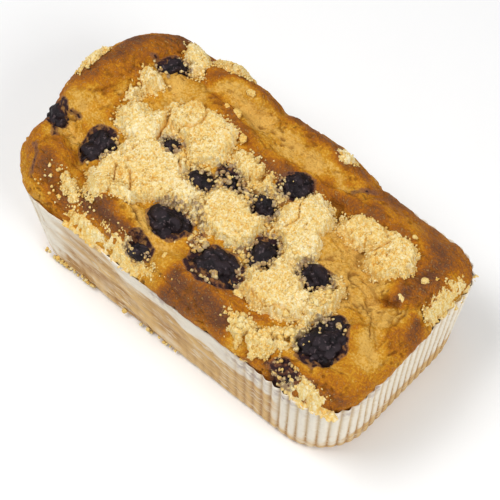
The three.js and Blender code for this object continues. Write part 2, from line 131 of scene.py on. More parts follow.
# Berries: half length, half width and turn in degrees. Their places come from the model's parts.
BERRY_SIZES = {
    "berry_left": (8.8, 6.8, 95),
    "berry_front_middle": (9.6, 7.6, 5),
    "berry_front_large": (12, 9.6, 8),
    "berry_low_end": (13.4, 9.2, 78),
    "berry_back": (7.4, 6.6, 60),
    "berry_middle": (6.4, 5.2, 150),
    "berry_centre": (8.2, 5.8, 105),
    "berry_right": (7.8, 5.8, 5),
    "berry_under_crumb_left": (6.4, 4.4, 10),
    "berry_under_crumb_right": (7, 4, 160),
    "berry_upper_left": (4.4, 3.8, 10),
    "berry_top_corner": (6.8, 4.4, 50),
    "berry_left_end": (6.2, 5, 70),
    "berry_front_edge": (6, 3.4, 12),
    "berry_low_corner": (5.8, 3, 5),
}

# Crumb clumps: how thick, then lobes of x, y, half length, half width, turn.
CLUMPS = {
    "crumb_left": (
        4.4,
        (-34, -12.5, 20, 9.5, 2),
        (-52.5, 0.5, 11, 8, 20),
        (-43, -4, 9, 6, 60),
        (-49, -25.5, 7.5, 10.5, 8),
        (-37, -23, 8, 9, 0),
    ),
    "crumb_front": (4.6, (34, -20.5, 14.5, 11.5, 5), (50.5, -14, 5, 11, 8)),
    "crumb_right": (4.6, (22.5, 9, 9.5, 12, 0), (29, -0.5, 7.5, 8.5, 20)),
    "crumb_centre": (4.8, (-3, -10, 11.5, 9.5, 25), (4.5, -8.5, 9, 10.5, 0)),
    "crumb_low_end": (4, (43, 20.5, 13, 5, 8), (57, 18, 9.8, 8.8, -5)),
    "crumb_upper": (4.4, (-39, 14, 13, 8, 10), (-29, 12, 9.5, 11, 15)),
    "crumb_strip": (3.6, (-9, 13, 11, 5.5, -4), (3, 11, 6.5, 3.4, -5)),
    "crumb_broken": (3, (36.5, -41.8, 8.5, 5, 3), (46, -38.5, 8, 5, 25), (52, -31, 6.5, 4, 60)),
    "crumb_edge": (3, (-40, -44.4, 13, 2.8, 2), (-21, -44.3, 12, 2.8, -2)),
    "crumb_top_corner": (3.4, (-60.5, 38.5, 8, 5, -50)),
    "crumb_top_small": (3, (-64.3, 17, 4, 4.6, 0)),
    "crumb_fold": (2.6, (-65.5, 7, 2.6, 4.2, 5)),
    "crumb_behind": (4.4, (-46, 45.5, 7.5, 3.8, 5)),
    "crumb_left_rim": (3.2, (-90, 10, 3.4, 7.5, 5)),
    "crumb_left_corner": (2.4, (-57.5, -38.2, 5, 2.6, -12)),
    "crumb_low_corner": (2.6, (70, -44, 11, 2.6, 3)),
    "crumb_low_rim": (2.8, (82.3, 24, 2.6, 14, 1)),
    "crumb_back_rim": (2.6, (15.5, 43, 3.2, 3, 0)),
}
LOBES = [lobe for clump in CLUMPS.values() for lobe in clump[1:]]


# ---------------------------------------------------------------- small helpers
def mix(a, b, t):
    return a + (b - a) * t


def smooth(low, high, x):
    """0 below low, 1 above high, and a smooth curve between."""
    t = np.clip((x - low) / (high - low), 0, 1)
    return t * t * (3 - 2 * t)


def corner_value(ix, iy, iz, seed):
    """A repeatable number from -1 to 1 for each corner of a lattice."""
    key = ix * 73856093 ^ iy * 19349663 ^ iz * 83492791 ^ seed * 2654435761
    key = (key & 0xFFFFFFFF).astype(np.uint64)
    key = (key ^ (key >> 13)) * 1274126177 & 0xFFFFFFFF
    key = (key ^ (key >> 16)) * 2246822519 & 0xFFFFFFFF
    return (key ^ (key >> 15)).astype(float) / 2147483648.0 - 1


def noise(x, y, z, size, seed):
    """Smooth noise from -1 to 1, with lumps of about the given size."""
    places = np.broadcast_arrays(x, y, z)
    cell = [np.floor(v / size).astype(np.int64) for v in places]
    high = [v / size - c for v, c in zip(places, cell)]
    high = [share * share * (3 - 2 * share) for share in high]
    shares = [(1 - share, share) for share in high]
    total = 0
    for dx in (0, 1):
        for dy in (0, 1):
            for dz in (0, 1):
                share = shares[0][dx] * shares[1][dy] * shares[2][dz]
                total = total + share * corner_value(cell[0] + dx, cell[1] + dy, cell[2] + dz, seed)
    return total


def layered_noise(x, y, z, size, seed, layers=3):
    total = 0
    for layer in range(layers):
        total = total + noise(x, y, z, size / 2**layer, seed + layer) / 2**layer
    return total / 1.5


def grains(x, y, size, seed):
    """Round grains packed side by side: their height from 0 to 1, and a number for each grain."""
    ix, iy = np.floor(x / size).astype(np.int64), np.floor(y / size).astype(np.int64)
    nearest = np.full(np.shape(x), 9.0)
    tone = np.zeros(np.shape(x))
    for dx in (-1, 0, 1):
        for dy in (-1, 0, 1):
            cx = (ix + dx + 0.5 + 0.42 * corner_value(ix + dx, iy + dy, 0, seed)) * size
            cy = (iy + dy + 0.5 + 0.42 * corner_value(ix + dx, iy + dy, 1, seed)) * size
            d = np.hypot(x - cx, y - cy) / size
            closer = d < nearest
            nearest = np.where(closer, d, nearest)
            tone = np.where(closer, corner_value(ix + dx, iy + dy, 2, seed), tone)
    return np.sqrt(np.clip(1 - (nearest / 0.75) ** 2, 0, 1)), tone


def ellipse_distance(x, y, ellipse):
    """Distance from an ellipse's middle, where 1 is on the ellipse."""
    cx, cy, a, b, turn = ellipse[:5]
    c, s = math.cos(math.radians(turn)), math.sin(math.radians(turn))
    return np.hypot(((x - cx) * c + (y - cy) * s) / a, ((y - cy) * c - (x - cx) * s) / b)


def beside(x, y, ellipses):
    """Millimetres from the nearest ellipse's outline, seen from above; negative inside one."""
    nearest = np.full(np.shape(x), 99.0)
    for ellipse in ellipses:
        gap = (ellipse_distance(x, y, ellipse) - 1) * min(ellipse[2:4])
        nearest = np.minimum(nearest, gap)
    return nearest


def beside_path(x, y, points):
    """Distance from a path, and how far to its left a point lies of the nearest stretch."""
    nearest = np.full(np.shape(x), 1e9)
    to_left = np.zeros(np.shape(x))
    for (ax, ay), (bx, by) in zip(points, points[1:]):
        length = math.hypot(bx - ax, by - ay)
        t = np.clip(((x - ax) * (bx - ax) + (y - ay) * (by - ay)) / length**2, 0, 1)
        away = np.hypot(x - mix(ax, bx, t), y - mix(ay, by, t))
        left = ((bx - ax) * (y - ay) - (by - ay) * (x - ax)) / length
        to_left = np.where(away < nearest, left, to_left)
        nearest = np.minimum(nearest, away)
    return nearest, to_left


def fade(distance, reach):
    """1 where the distance is 0, falling off smoothly over the reach."""
    return np.exp(-((distance / reach) ** 2))


def painted(x, y, paths):
    """The strongest of some paths at each point. A path is its strength, its reach and its points."""
    strongest = np.zeros(np.shape(x))
    for strength, reach, *points in paths:
        strongest = np.maximum(strongest, strength * fade(beside_path(x, y, points)[0], reach))
    return strongest


def mounds(x, y, places):
    """The sum of some round mounds. Each is its middle, its reach and its height."""
    total = np.zeros(np.shape(x))
    for mx, my, reach, height in places:
        total = total + height * fade(np.hypot(x - mx, y - my), reach)
    return total


def grid_quads(index):
    """Faces between the neighbouring points of a grid."""
    return np.stack([index[:-1, :-1], index[1:, :-1], index[1:, 1:], index[:-1, 1:]], axis=-1)


def band_quads(lower, upper):
    """Faces between a closed ring of points and the one above it."""
    return np.stack([lower, np.roll(lower, -1), np.roll(upper, -1), upper], axis=-1)


def fan(ring, middle):
    """Triangles that close a ring from below."""
    return np.stack([np.roll(ring, -1), ring, np.full(len(ring), middle)], axis=-1)


def make_piece(name, points, faces, attributes, material, smooth_shading=True):
    """A mesh from points in millimetres and blocks of faces, riding on the cake's one body."""
    mesh = bpy.data.meshes.new(name)
    points = np.clip(points, *INSIDE_BOX) * MM
    mesh.from_pydata(points.tolist(), [], [face for block in faces for face in block.tolist()])
    for label, values in attributes.items():
        layer = mesh.attributes.new(label, "FLOAT", "POINT")
        layer.data.foreach_set("value", np.asarray(values, dtype=np.float32))
    if smooth_shading:
        mesh.shade_smooth()
    mesh.materials.append(material)
    piece = bpy.data.objects.new(name, mesh)
    bpy.context.collection.objects.link(piece)
    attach(piece, "root")
    return piece


# ---------------------------------------------------------------- the case's outline
def case_outline(z, inset=0.0):
    t = z / CASE_HEIGHT
    return {
        "length": mix(CASE_BASE["length"], CASE_RIM["length"], t) - 2 * inset,
        "width": mix(CASE_BASE["width"], CASE_RIM["width"], t) - 2 * inset,
        "corner": mix(CASE_BASE["corner"], CASE_RIM["corner"], t) - inset,
    }


WALL = case_outline(CASE_HEIGHT, WALL_INSET)


def outline_points(side, place, outline):
    """Points and outward normals on a rounded rectangle.

    Sides run anticlockwise from +X, and place goes from -1 to 1 along each, evenly.
    """
    is_end = side % 2 == 0
    corner = outline["corner"]
    reach = np.where(is_end, outline["length"], outline["width"]) / 2
    straight = np.where(is_end, outline["width"], outline["length"]) / 2 - corner
    travelled = np.abs(place) * (straight + corner * math.pi / 4)
    angle = np.maximum(0, travelled - straight) / corner
    along = np.sign(place) * (np.minimum(travelled, straight) + corner * np.sin(angle))
    out = reach - corner + corner * np.cos(angle)
    normal_along, normal_out = np.sign(place) * np.sin(angle), np.cos(angle)
    c, s = np.cos(side * math.pi / 2), np.sin(side * math.pi / 2)
    return (
        out * c - along * s,
        out * s + along * c,
        normal_out * c - normal_along * s,
        normal_out * s + normal_along * c,
    )


def rim_height(x, y):
    return CASE_HEIGHT + RIM_WAVE * np.sin(x / 13 + 1.1) * np.cos(y / 11 - x / 37)


# ---------------------------------------------------------------- the crust's height
def nearest_wall(x, y):
    hx, hy = WALL["length"] / 2 - WALL["corner"], WALL["width"] / 2 - WALL["corner"]
    cx, cy = np.clip(x, -hx, hx), np.clip(y, -hy, hy)
    reach = np.hypot(x - cx, y - cy)
    in_corner = reach > 1e-6
    k = WALL["corner"] / np.maximum(reach, 1e-6)
    to_end = WALL["length"] / 2 - np.abs(x)
    to_side = WALL["width"] / 2 - np.abs(y)
    end_first = to_end < to_side
    wx = np.where(end_first, np.sign(x) * WALL["length"] / 2, x)
    wy = np.where(end_first, y, np.where(y >= 0, 1, -1) * WALL["width"] / 2)
    return (
        np.where(in_corner, cx + (x - cx) * k, wx),
        np.where(in_corner, cy + (y - cy) * k, wy),
        np.where(in_corner, WALL["corner"] - reach, np.minimum(to_end, to_side)),
    )


def spill(x, y):
    return SPILL_EVERYWHERE + mounds(x, y, SPILLS)


def crown(x, y):
    """The crust without its shoulder: a dome, the largest of the swells, and the creases."""
    u, v = x / (CASE_RIM["length"] / 2), y / (CASE_RIM["width"] / 2)
    dome = CRUST_MIDDLE - 3 * u - 4 * v * v - 1.5 * u**4
    total = 1.0
    for swell in SWELLS:
        height = swell[5] * np.maximum(-1, 1 - ellipse_distance(x, y, swell) ** 2)
        total = total + np.exp(height / SWELL_SOFTNESS)
    height = dome + SWELL_SOFTNESS * np.log(total)
    for depth, reach, *points in CREASES:
        height = height - depth * fade(beside_path(x, y, points)[0], reach)
    return height


def edge_height(spilled):
    rim = CASE_HEIGHT + RIM_WAVE + CRUST_EDGE_RISE
    return rim + np.where(spilled > 0, 0.85 * spilled, spilled)


def crust_height(x, y):
    wx, wy, inside = nearest_wall(x, y)
    spilled = spill(wx, wy)
    t = np.clip(1 - (inside + np.maximum(0, spilled)) / SHOULDER, 0, 1)
    edge = edge_height(spilled)
    return edge + (crown(x, y) - edge) * np.sqrt(1 - t * t)


# ---------------------------------------------------------------- berries, as the model holds them
def berry_places():
    """Middle, half sizes and outline of each berry. Its place and its height are its node's."""
    places = {}
    for name, (along, across, turn) in BERRY_SIZES.items():
        low, high = (np.array(corner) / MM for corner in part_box(name))
        middle = (low + high) / 2
        places[name] = {
            "middle": middle,
            "half": np.array([along, across, (high[2] - low[2]) / 2]),
            "outline": (middle[0], middle[1], along, across, turn),
        }
    return places


BERRIES = berry_places()


def beside_berry(x, y):
    return beside(x, y, [berry["outline"] for berry in BERRIES.values()])


# ---------------------------------------------------------------- the cake
CAKE_CELLS_LONG = 362
CAKE_CELLS_SHORT = 200
CAKE_CURL_ROWS = 7
CAKE_WALL_ROWS = 6
GRID_DRAW = 0.6
RIM_GAP = 0.65
CURL_LEAST = 0.3
FOOT_INSET = 0.8
RIM_LIP = 0.9
FILLED_INSET = 1.0
CREVICE_SHADE = 0.2
RIDGE_BROWNING = 0.14

# Browned paths over the crust: how brown, how wide, then points.
BROWNED = [
    (1.0, 7, (-88, 0), (-85, 10), (-81, 22), (-77, 34), (-70, 42), (-64, 45)),
    (0.55, 6, (-76, 4), (-73, 14), (-72, 26), (-70, 36)),
    (0.45, 6, (-90, -8), (-87, -20), (-82, -34)),
    (0.45, 3.5, (-66, -6), (-68, 0), (-67, 12)),
    (0.7, 4, (-52, 36), (-44, 42), (-34, 45), (-24, 46)),
    (0.7, 4, (-40, 29), (-34, 28), (-24, 25), (-16, 21), (-4, 20), (2, 22)),
    (0.85, 5, (-13, 45), (-3, 44), (9, 43), (18, 41), (24, 40)),
    (0.75, 4.5, (16, 27), (28, 27), (42, 28), (54, 30), (66, 29)),
    (0.75, 7, (36, 42), (50, 42), (66, 42), (78, 38)),
    (1.0, 8, (66, 37), (72, 32), (73, 22), (75, 15)),
    (1.0, 3.6, (72, 12), (70, 8), (70.5, 5.5)),
    (1.05, 4.4, (82.5, 3.5), (84.5, -3)),
    (0.5, 5, (80, -3), (82, -9)),
    (0.4, 4, (85, -12), (85, -26), (82, -38)),
    (1.1, 3.4, (-50, -37), (-42, -38.5), (-32, -39), (-26, -39.5)),
    (0.4, 3, (-56, -33), (-46, -33.5)),
    (1.1, 5.5, (3, -45), (10, -44.5), (18, -43), (26, -43)),
    (0.6, 4, (6, -40), (20, -36), (34, -34)),
    (0.75, 5, (42, -46), (56, -43.5), (72, -43), (80, -41)),
    (0.95, 5.5, (-72, -36), (-66, -40), (-60, -42), (-54, -44)),
    (0.5, 6, (-76, -28), (-66, -32)),
    (0.3, 9, (62, -40), (74, -37), (80, -29)),
    (0.4, 4.5, (65, -9), (69, -14), (71, -21)),
]
# Pale valleys, where the crust stayed lighter.
PALE = [
    (0.9, 6, (44, 6), (52, 4), (60, 1), (67, -2), (72, -7)),
    (0.9, 7, (36, 12), (46, 4), (57, -4)),
    (0.4, 5, (74, -10), (78, -17)),
    (0.9, 2.6, (70, 1), (76, 3.5), (80, 8.5), (83, 12)),
    (0.6, 4, (-76, -19), (-68, -23), (-62, -28)),
    (0.5, 4, (-58, 24), (-52, 20), (-50, 16)),
    (0.45, 5, (-46, 34), (-36, 36), (-26, 33), (-9, 33), (4, 32), (17, 34), (26, 33)),
    (0.3, 5, (-82, -14), (-78, -8), (-72, 6), (-66, 16), (-60, 28)),
    (0.4, 4, (-30, -30), (-22, -33), (-12, -35)),
    (0.35, 5, (50, -40), (60, -39), (70, -38)),
]
# Berry juice that ran along folds of the crust: how strong, half width, then points.
JUICY = [
    (1.0, 2.6, (-92, -13), (-86, -18), (-81, -22), (-77, -25)),
    (1.0, 1.6, (-79, -15), (-75, -14)),
    (0.9, 2.0, (-80, -33), (-76, -38), (-73, -42)),
    (0.9, 1.8, (30, 34), (33, 40)),
    (0.9, 1.8, (-69, 23), (-65, 27), (-62, 33)),
    (0.8, 1.2, (-34, -43), (-32, -43)),
    (0.7, 1.6, (65, -41), (70, -41)),
    (1.0, 0.8, (50, -44.5), (63, -44.5)),
    (1.1, 3.2, (-24, -2), (-16, 1), (-8, 3), (0, 5)),
    (1.0, 3.6, (-14, -14), (-6, -18), (-3, -23), (-4, -27)),
    (0.9, 2.4, (12, -18), (16, -8), (13, 0)),
    (0.9, 3.0, (6, 9), (11, 14)),
]
# Fine open cracks: depth, half width, then points.
CRACKS = [
    (1.8, 0.7, (24, 24.4), (27.5, 23.6), (29.3, 21), (30, 18.5)),
    (1.0, 0.5, (-74, 18), (-72, 13)),
    (0.9, 0.5, (-77, -4), (-74, 2)),
    (1.0, 0.5, (-38, 31), (-35, 30.5)),
    (1.1, 0.5, (49, 5), (53, 2.5), (57, 1.5)),
    (0.8, 0.5, (62, -1), (66, -4), (70, -9), (73, -14)),
    (1.2, 0.6, (68, 3.5), (71, 2.8), (75, 1.5)),
    (1.1, 0.6, (76, 5), (77.5, 1), (77, -4)),
    (1.3, 0.6, (-79, -15.5), (-75, -14.5)),
    (1.5, 0.7, (-50, 11), (-47, 5), (-45, -2)),
    (1.0, 0.6, (16, 30.2), (26, 30), (36, 31)),
]
# Steps where one fold of the crust lies over the next: height, width, then points, with the
# higher side on the left of the way they run.
STEPS = [
    (2.4, 2.6, (60, 5), (66, 3.2), (70, 3), (74, 3.6), (77, 6)),
    (1.8, 2.2, (77, 4), (76.5, -4), (79, -14)),
    (1.8, 2.6, (36, 30.5), (22, 30), (8, 26.5), (-10, 22.5), (-30, 29), (-50, 31)),
    (1.6, 2.4, (-24, -35), (-34, -33), (-48, -31), (-56, -31)),
    (1.4, 2.4, (32, -33), (18, -38), (2, -41)),
    (1.8, 2.4, (-64, 40), (-66, 30), (-69, 22)),
    (2.0, 2.6, (-80, -20), (-70, -24), (-62, -29)),
    (1.4, 2.2, (46, 6), (52, 3.6), (58, 2.4)),
    (1.4, 2.2, (58, -3), (66, -7), (72, -14)),
    (1.5, 2.0, (-44, -3), (-46, 5), (-50, 11)),
]
# Lumps of crust that bulge over a berry's edge: x, y, reach, height.
BULGES = [
    (70.5, -15.5, 6.5, 5.4),
    (-80, -12, 5, 4.2),
    (-61, 25, 4.2, 3.8),
    (-57, -25, 3, 1.6),
    (4, -20, 3, 1.2),
]
# Depths of the crust's relief, and the crags where it is torn: size, and depth.
LUMP_DEPTH = 0.8
FOLD_DEPTH = 0.9
RIPPLE_DEPTH = 0.5
PORE_DEPTH = 0.7
PIT_DEPTH = 0.6
SEAM_DEPTH = 0.6
CRAGS = ((4.2, 0.7), (1.9, 0.45), (1.2, 0.45))
# How far across a step's width its edge is, and how wide the shade painted at its foot is.
STEP_EDGE = 0.2
STEP_FOOT = 0.3


def step_relief(x, y):
    """Rise and fall across the folds' steps, and the shade painted into the hollow at the foot of
    each.
    """
    total, crevice_shade = np.zeros(np.shape(x)), np.zeros(np.shape(x))
    for rise, width, *points in STEPS:
        away, to_left = beside_path(x, y, points)
        total = total + 0.5 * rise * np.tanh(to_left / (STEP_EDGE * width)) * fade(away, width)
        at_foot = fade(to_left + STEP_EDGE * width, STEP_FOOT * width) * (away < width)
        crevice_shade = np.maximum(crevice_shade, CREVICE_SHADE * at_foot)
    return total, crevice_shade


def grid_places(cells):
    even = np.linspace(-1, 1, cells + 1)
    return mix(even, np.sin(even * math.pi / 2), GRID_DRAW)


def crust_points(u, v):
    m = np.maximum(np.abs(u), np.abs(v))
    safe = np.maximum(m, 1e-9)
    by_end = np.abs(u) >= np.abs(v)
    side = np.where(by_end, np.where(u > 0, 0, 2), np.where(v > 0, 1, 3))
    place = np.where(by_end, v / np.where(by_end, np.where(u == 0, 1, u), 1), 0)
    place = np.where(by_end, place, -u / np.where(by_end, 1, np.where(v == 0, 1, v)))
    ex, ey, nx, ny = outline_points(side, place, WALL)
    over = np.maximum(0, spill(ex, ey))
    box_x, box_y = u / safe * CASE_RIM["length"] / 2, v / safe * CASE_RIM["width"] / 2
    x = m * mix(box_x, ex + nx * over, m**2)
    y = m * mix(box_y, ey + ny * over, m**2)
    return np.stack([x, y, crust_height(x, y)], axis=-1)


def side_columns(side, place):
    """Rings of points under the crust's edge: round its curl, down the wall and in at the foot."""
    x, y, nx, ny = outline_points(side, place, WALL)
    spilled = spill(x, y)
    over, edge = np.maximum(0, spilled), edge_height(spilled)
    neck = np.minimum(edge - CURL_LEAST, rim_height(x, y) + RIM_GAP)
    rings = []
    for row in range(1, CAKE_CURL_ROWS + 1):
        turn = row / CAKE_CURL_ROWS * math.pi / 2
        out = over * math.cos(turn)
        rings.append(np.stack([x + nx * out, y + ny * out, mix(edge, neck, math.sin(turn))], axis=-1))
    for row in range(1, CAKE_WALL_ROWS + 1):
        z = mix(neck, 5.0, row / CAKE_WALL_ROWS)
        outline = case_outline(z, mix(FILLED_INSET, WALL_INSET, smooth(1, 2, np.full(1, row))[0]))
        wx, wy, _, _ = outline_points(side, place, outline)
        rings.append(np.stack([wx, wy, z], axis=-1))
    for inset, z in ((2.2, 2.72), (BASE_ROUND + FOOT_INSET, CASE_FLOOR)):
        wx, wy, _, _ = outline_points(side, place, case_outline(z, WALL_INSET + inset))
        rings.append(np.stack([wx, wy, np.full(np.shape(wx), z)], axis=-1))
    return rings


def vertex_normals(points, quads):
    diagonal_a = points[quads[:, 2]] - points[quads[:, 0]]
    diagonal_b = points[quads[:, 3]] - points[quads[:, 1]]
    face = np.cross(diagonal_a, diagonal_b)
    normals = np.zeros_like(points)
    for corner in range(4):
        np.add.at(normals, quads[:, corner], face)
    return normals / np.maximum(np.linalg.norm(normals, axis=1, keepdims=True), 1e-12)


def cake_relief(points):
    """How far the baked surface stands out, how much of that is ridge, and how much shade is painted
    into its hollows.
    """
    x, y, z = points.T
    bend_x, bend_y = x + 3 * noise(x, y, z, 9, 12), y + 3 * noise(x, y, z, 9, 13)
    lumps = LUMP_DEPTH * layered_noise(bend_x * 0.6, bend_y, z, 9, 11)
    folds = FOLD_DEPTH * (1 - np.abs(noise(bend_x * 0.5, bend_y, z, 7, 14))) ** 6
    ripple = RIPPLE_DEPTH * layered_noise(bend_x * 0.6, bend_y, z, 2.4, 21)
    shaded_pores = smooth(0.3, 0.6, noise(bend_x * 0.7, bend_y, z, 1.3, 31))
    shaded_pores = shaded_pores * smooth(-0.6, 0.3, noise(x, y, z, 12, 32))
    cracks = painted(x + noise(x, y, z, 3, 41), y + noise(x, y, z, 3, 42), CRACKS)
    torn = painted(x, y, PALE)
    large, middle, small = CRAGS
    crag, rise = grains(bend_x, bend_y, large[0], 34)
    crags = large[1] * rise + middle[1] * grains(x, y, middle[0], 35)[1]
    lumps = lumps + torn * (crags + small[1] * noise(x, y, z, small[0], 36))
    pits = torn * smooth(0.35, 0.7, noise(x, y, z, 1.5, 40))
    seams = torn * smooth(0.5, 0.1, crag) * smooth(-0.1, 0.5, noise(x, y, z, 6, 39))
    lips = 1.9 * noise(x, y, z, 4.5, 37) + 0.8 * noise(x, y, z, 1.8, 38) - 0.1
    lips = lips * fade(beside_berry(x, y) + 0.8, 1.7) + mounds(x, y, BULGES)
    steps, crevice_shade = step_relief(bend_x, bend_y)
    hollows = folds + PORE_DEPTH * shaded_pores + cracks + SEAM_DEPTH * seams + PIT_DEPTH * pits
    # Painted shade, darkening the crust in its holes, cracks, folds, seams, pits and at the steps'
    # feet.
    painted_shade = 0.9 * shaded_pores + 0.8 * cracks + 0.2 * folds + 0.7 * seams + 0.2 * pits + crevice_shade
    ridges = np.clip(lumps + ripple - folds, -1.5, 1.5)
    return lumps + ripple + steps + lips - hollows, ridges, np.clip(painted_shade, 0, 1)


def cake_colours(x, y, z):
    """Browning and berry stain at each point, from 0 to 1."""
    wx, wy = x + 3 * noise(x, y, z, 8, 51), y + 3 * noise(x, y, z, 8, 52)
    brown = painted(wx, wy, BROWNED)
    pale = painted(wx, wy, PALE) * (1 - brown)
    level = 0.22 + 0.65 * brown - 0.38 * pale + 0.12 * layered_noise(x, y, z, 13, 61)
    distance = beside_berry(x, y) + 0.8 * mounds(x, y, BULGES) + 0.8 * noise(x, y, z, 3.5, 71)
    stain = np.maximum(fade(np.maximum(0, distance), 0.6), painted(wx, wy, JUICY))
    return np.clip(level, 0, 1), stain


def build_cake(material):
    us, vs = grid_places(CAKE_CELLS_LONG), grid_places(CAKE_CELLS_SHORT)
    u, v = np.meshgrid(us, vs, indexing="ij")
    points = [crust_points(u.ravel(), v.ravel())]
    index = np.arange(u.size).reshape(u.shape)
    quads = [grid_quads(index).reshape(-1, 4)]
    above = np.concatenate([index[-1, :-1], index[:0:-1, -1], index[0, :0:-1], index[:-1, 0]])
    sides = np.repeat([0, 1, 2, 3], [len(vs) - 1, len(us) - 1, len(vs) - 1, len(us) - 1])
    places = np.concatenate([vs[:-1], -us[:0:-1], -vs[:0:-1], us[:-1]])
    count = u.size
    for ring in side_columns(sides, places):
        below = np.arange(count, count + len(ring))
        points.append(ring)
        quads.append(band_quads(below, above))
        above, count = below, count + len(ring)
    points, quads = np.concatenate(points), np.concatenate(quads)
    normals = vertex_normals(points, quads)
    relief, ridges, shaded_pores = cake_relief(points)
    showing = smooth(CASE_HEIGHT - 1, CASE_HEIGHT + 1.5, points[:, 2])
    lip = RIM_LIP * np.clip(1 - np.abs(normals[:, 2]), 0, 1) * (points[:, 2] < CASE_HEIGHT + 8)
    points = points + normals * ((relief + lip) * showing)[:, None]
    brown, stain = cake_colours(*points.T)
    attributes = {
        "browning": np.append(np.clip(brown + RIDGE_BROWNING * ridges, 0, 1), 0.3),
        "stain": np.append(stain, 0),
        # Painted shade in the crust's hollows.
        "shaded_pores": np.append(shaded_pores, 0),
    }
    points = np.concatenate([points, [[0, 0, CASE_FLOOR]]])
    faces = [quads, fan(above, count)]
    piece = make_piece("cake_baked", points, faces, attributes, material)
    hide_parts("cake")


# ---------------------------------------------------------------- crumb clumps
CRUMB_CELL = 0.265
CRUMB_JITTER = 0.3 * CRUMB_CELL
CRUMB_SKIRT = 0.6
CRUMB_MARGIN = 3.0
CRUMB_GROW = 0.7
CRUMB_RAGGED_REACH = 8.0
CRUMB_ROOT = 1.2
# Clumps that are broken through, by how deep their gaps bite, and those that baked more golden.
CRUMB_BROKEN = {
    "crumb_broken": 6,
    "crumb_edge": 0.6,
    "crumb_strip": 3,
    "crumb_low_corner": 0.5,
    "crumb_low_rim": 1,
    "crumb_left_corner": 3,
    "crumb_fold": 3,
}
CRUMB_GOLDEN = {
    "crumb_upper": 0.16,
    "crumb_low_end": 0.2,
    "crumb_strip": 0.1,
    "crumb_broken": 0.12,
    "crumb_edge": 0.12,
    "crumb_left_corner": 0.15,
    "crumb_front": 0.05,
}
# Cracks through the clumps: depth, half width, then points.
CRUMB_CRACKS = [
    (3.4, 0.8, (-49, 11), (-46.5, 5), (-44.5, -2)),
    (2.0, 0.5, (-48, -22), (-44.5, -26), (-41, -31)),
    (2.0, 0.5, (-42, -20), (-38, -24), (-34, -27.5)),
    (1.6, 0.5, (-54, -19), (-53, -27)),
    (1.8, 0.6, (-33, -2), (-29, -6), (-25, -9), (-21, -8)),
    (2.2, 0.6, (-12, -10), (-9.5, -14), (-7, -20)),
    (1.5, 0.5, (24, -28), (34, -30), (44, -26)),
    (1.6, 0.6, (46, 13), (50, 16), (53, 22)),
    (1.6, 0.5, (-40, 8), (-36, 14), (-38, 20)),
    (1.4, 0.5, (18, 12), (21, 6), (20, 0)),
]
CRUMB_GRAIN_LARGE = 1.3
CRUMB_GRAIN_SMALL = 0.85
CRUMB_SKEW = 0.7
CRUMB_SWAY = 0.35


def clump_seed(number):
    return 100 + 20 * number


def crumb_cracks(x, y):
    """Depth of the cracks through the clumps."""
    wx, wy = x + 0.9 * noise(x, y, 0, 2.2, 45), y + 0.9 * noise(x, y, 0, 2.2, 46)
    return painted(wx, wy, CRUMB_CRACKS)


def clump_shape(x, y, name, seed):
    """Height of a crumb clump over the crust, and how far inside its outline a point lies."""
    thick, *lobes = CLUMPS[name]
    largest = max(min(lobe[2], lobe[3]) for lobe in lobes)
    ragged = np.clip(largest / CRUMB_RAGGED_REACH, 0.3, 1)
    jag = 1.3 * noise(x, y, 0, 5.5, seed) + 0.9 * noise(x, y, 0, 2.4, seed + 1)
    jag = ragged * (jag + CRUMB_GROW) + 0.8 * noise(x, y, 0, 1.1, seed + 2)
    round_off = np.full(np.shape(x), -9.0)
    inside = np.full(np.shape(x), -99.0)
    for lobe in lobes:
        reach = min(lobe[2], lobe[3])
        distance = ellipse_distance(x, y, lobe) - jag / reach
        inside = np.maximum(inside, (1 - distance) * reach)
        round_off = np.maximum(round_off, 1 - np.maximum(distance, 0) ** 2)
    overlap = 0.8 + 2.2 * noise(x, y, 0, 3.2, seed + 8) + 1.2 * noise(x, y, 0, 1.3, seed + 9)
    inside = np.minimum(inside, beside_berry(x, y) + overlap)
    gaps = np.maximum(0, noise(x, y, 0, 2.7, seed + 10) + 0.5 * noise(x, y, 0, 1.2, seed + 11))
    inside = inside - CRUMB_BROKEN.get(name, 0) * gaps
    cliff = smooth(-0.4, 2.6, inside) ** 0.75
    height = thick * np.sqrt(np.sqrt(np.clip(round_off, 0, 1))) * cliff
    return height, inside


def crumb_stain(x, y):
    beside_one = fade(np.maximum(0, beside_berry(x, y)), 1.7)
    return np.maximum(beside_one, 0.9 * painted(x, y, JUICY))


def two_sided(kept):
    """A closed sheet over the kept points of a grid, as its top side's points, which of them the
    underside has for itself, and the faces. The outermost points belong to both sides."""
    whole = kept[:-1, :-1] & kept[1:, :-1] & kept[1:, 1:] & kept[:-1, 1:]
    quads = grid_quads(np.arange(kept.size).reshape(kept.shape))[whole]
    top = np.unique(quads)
    doubled = np.bincount(quads.ravel())[top] == 4
    place = np.zeros(kept.size, int)
    place[top] = np.arange(len(top))
    upper = place[quads]
    place[top[doubled]] = len(top) + np.arange(doubled.sum())
    return top, doubled, [upper, place[quads][:, ::-1]]


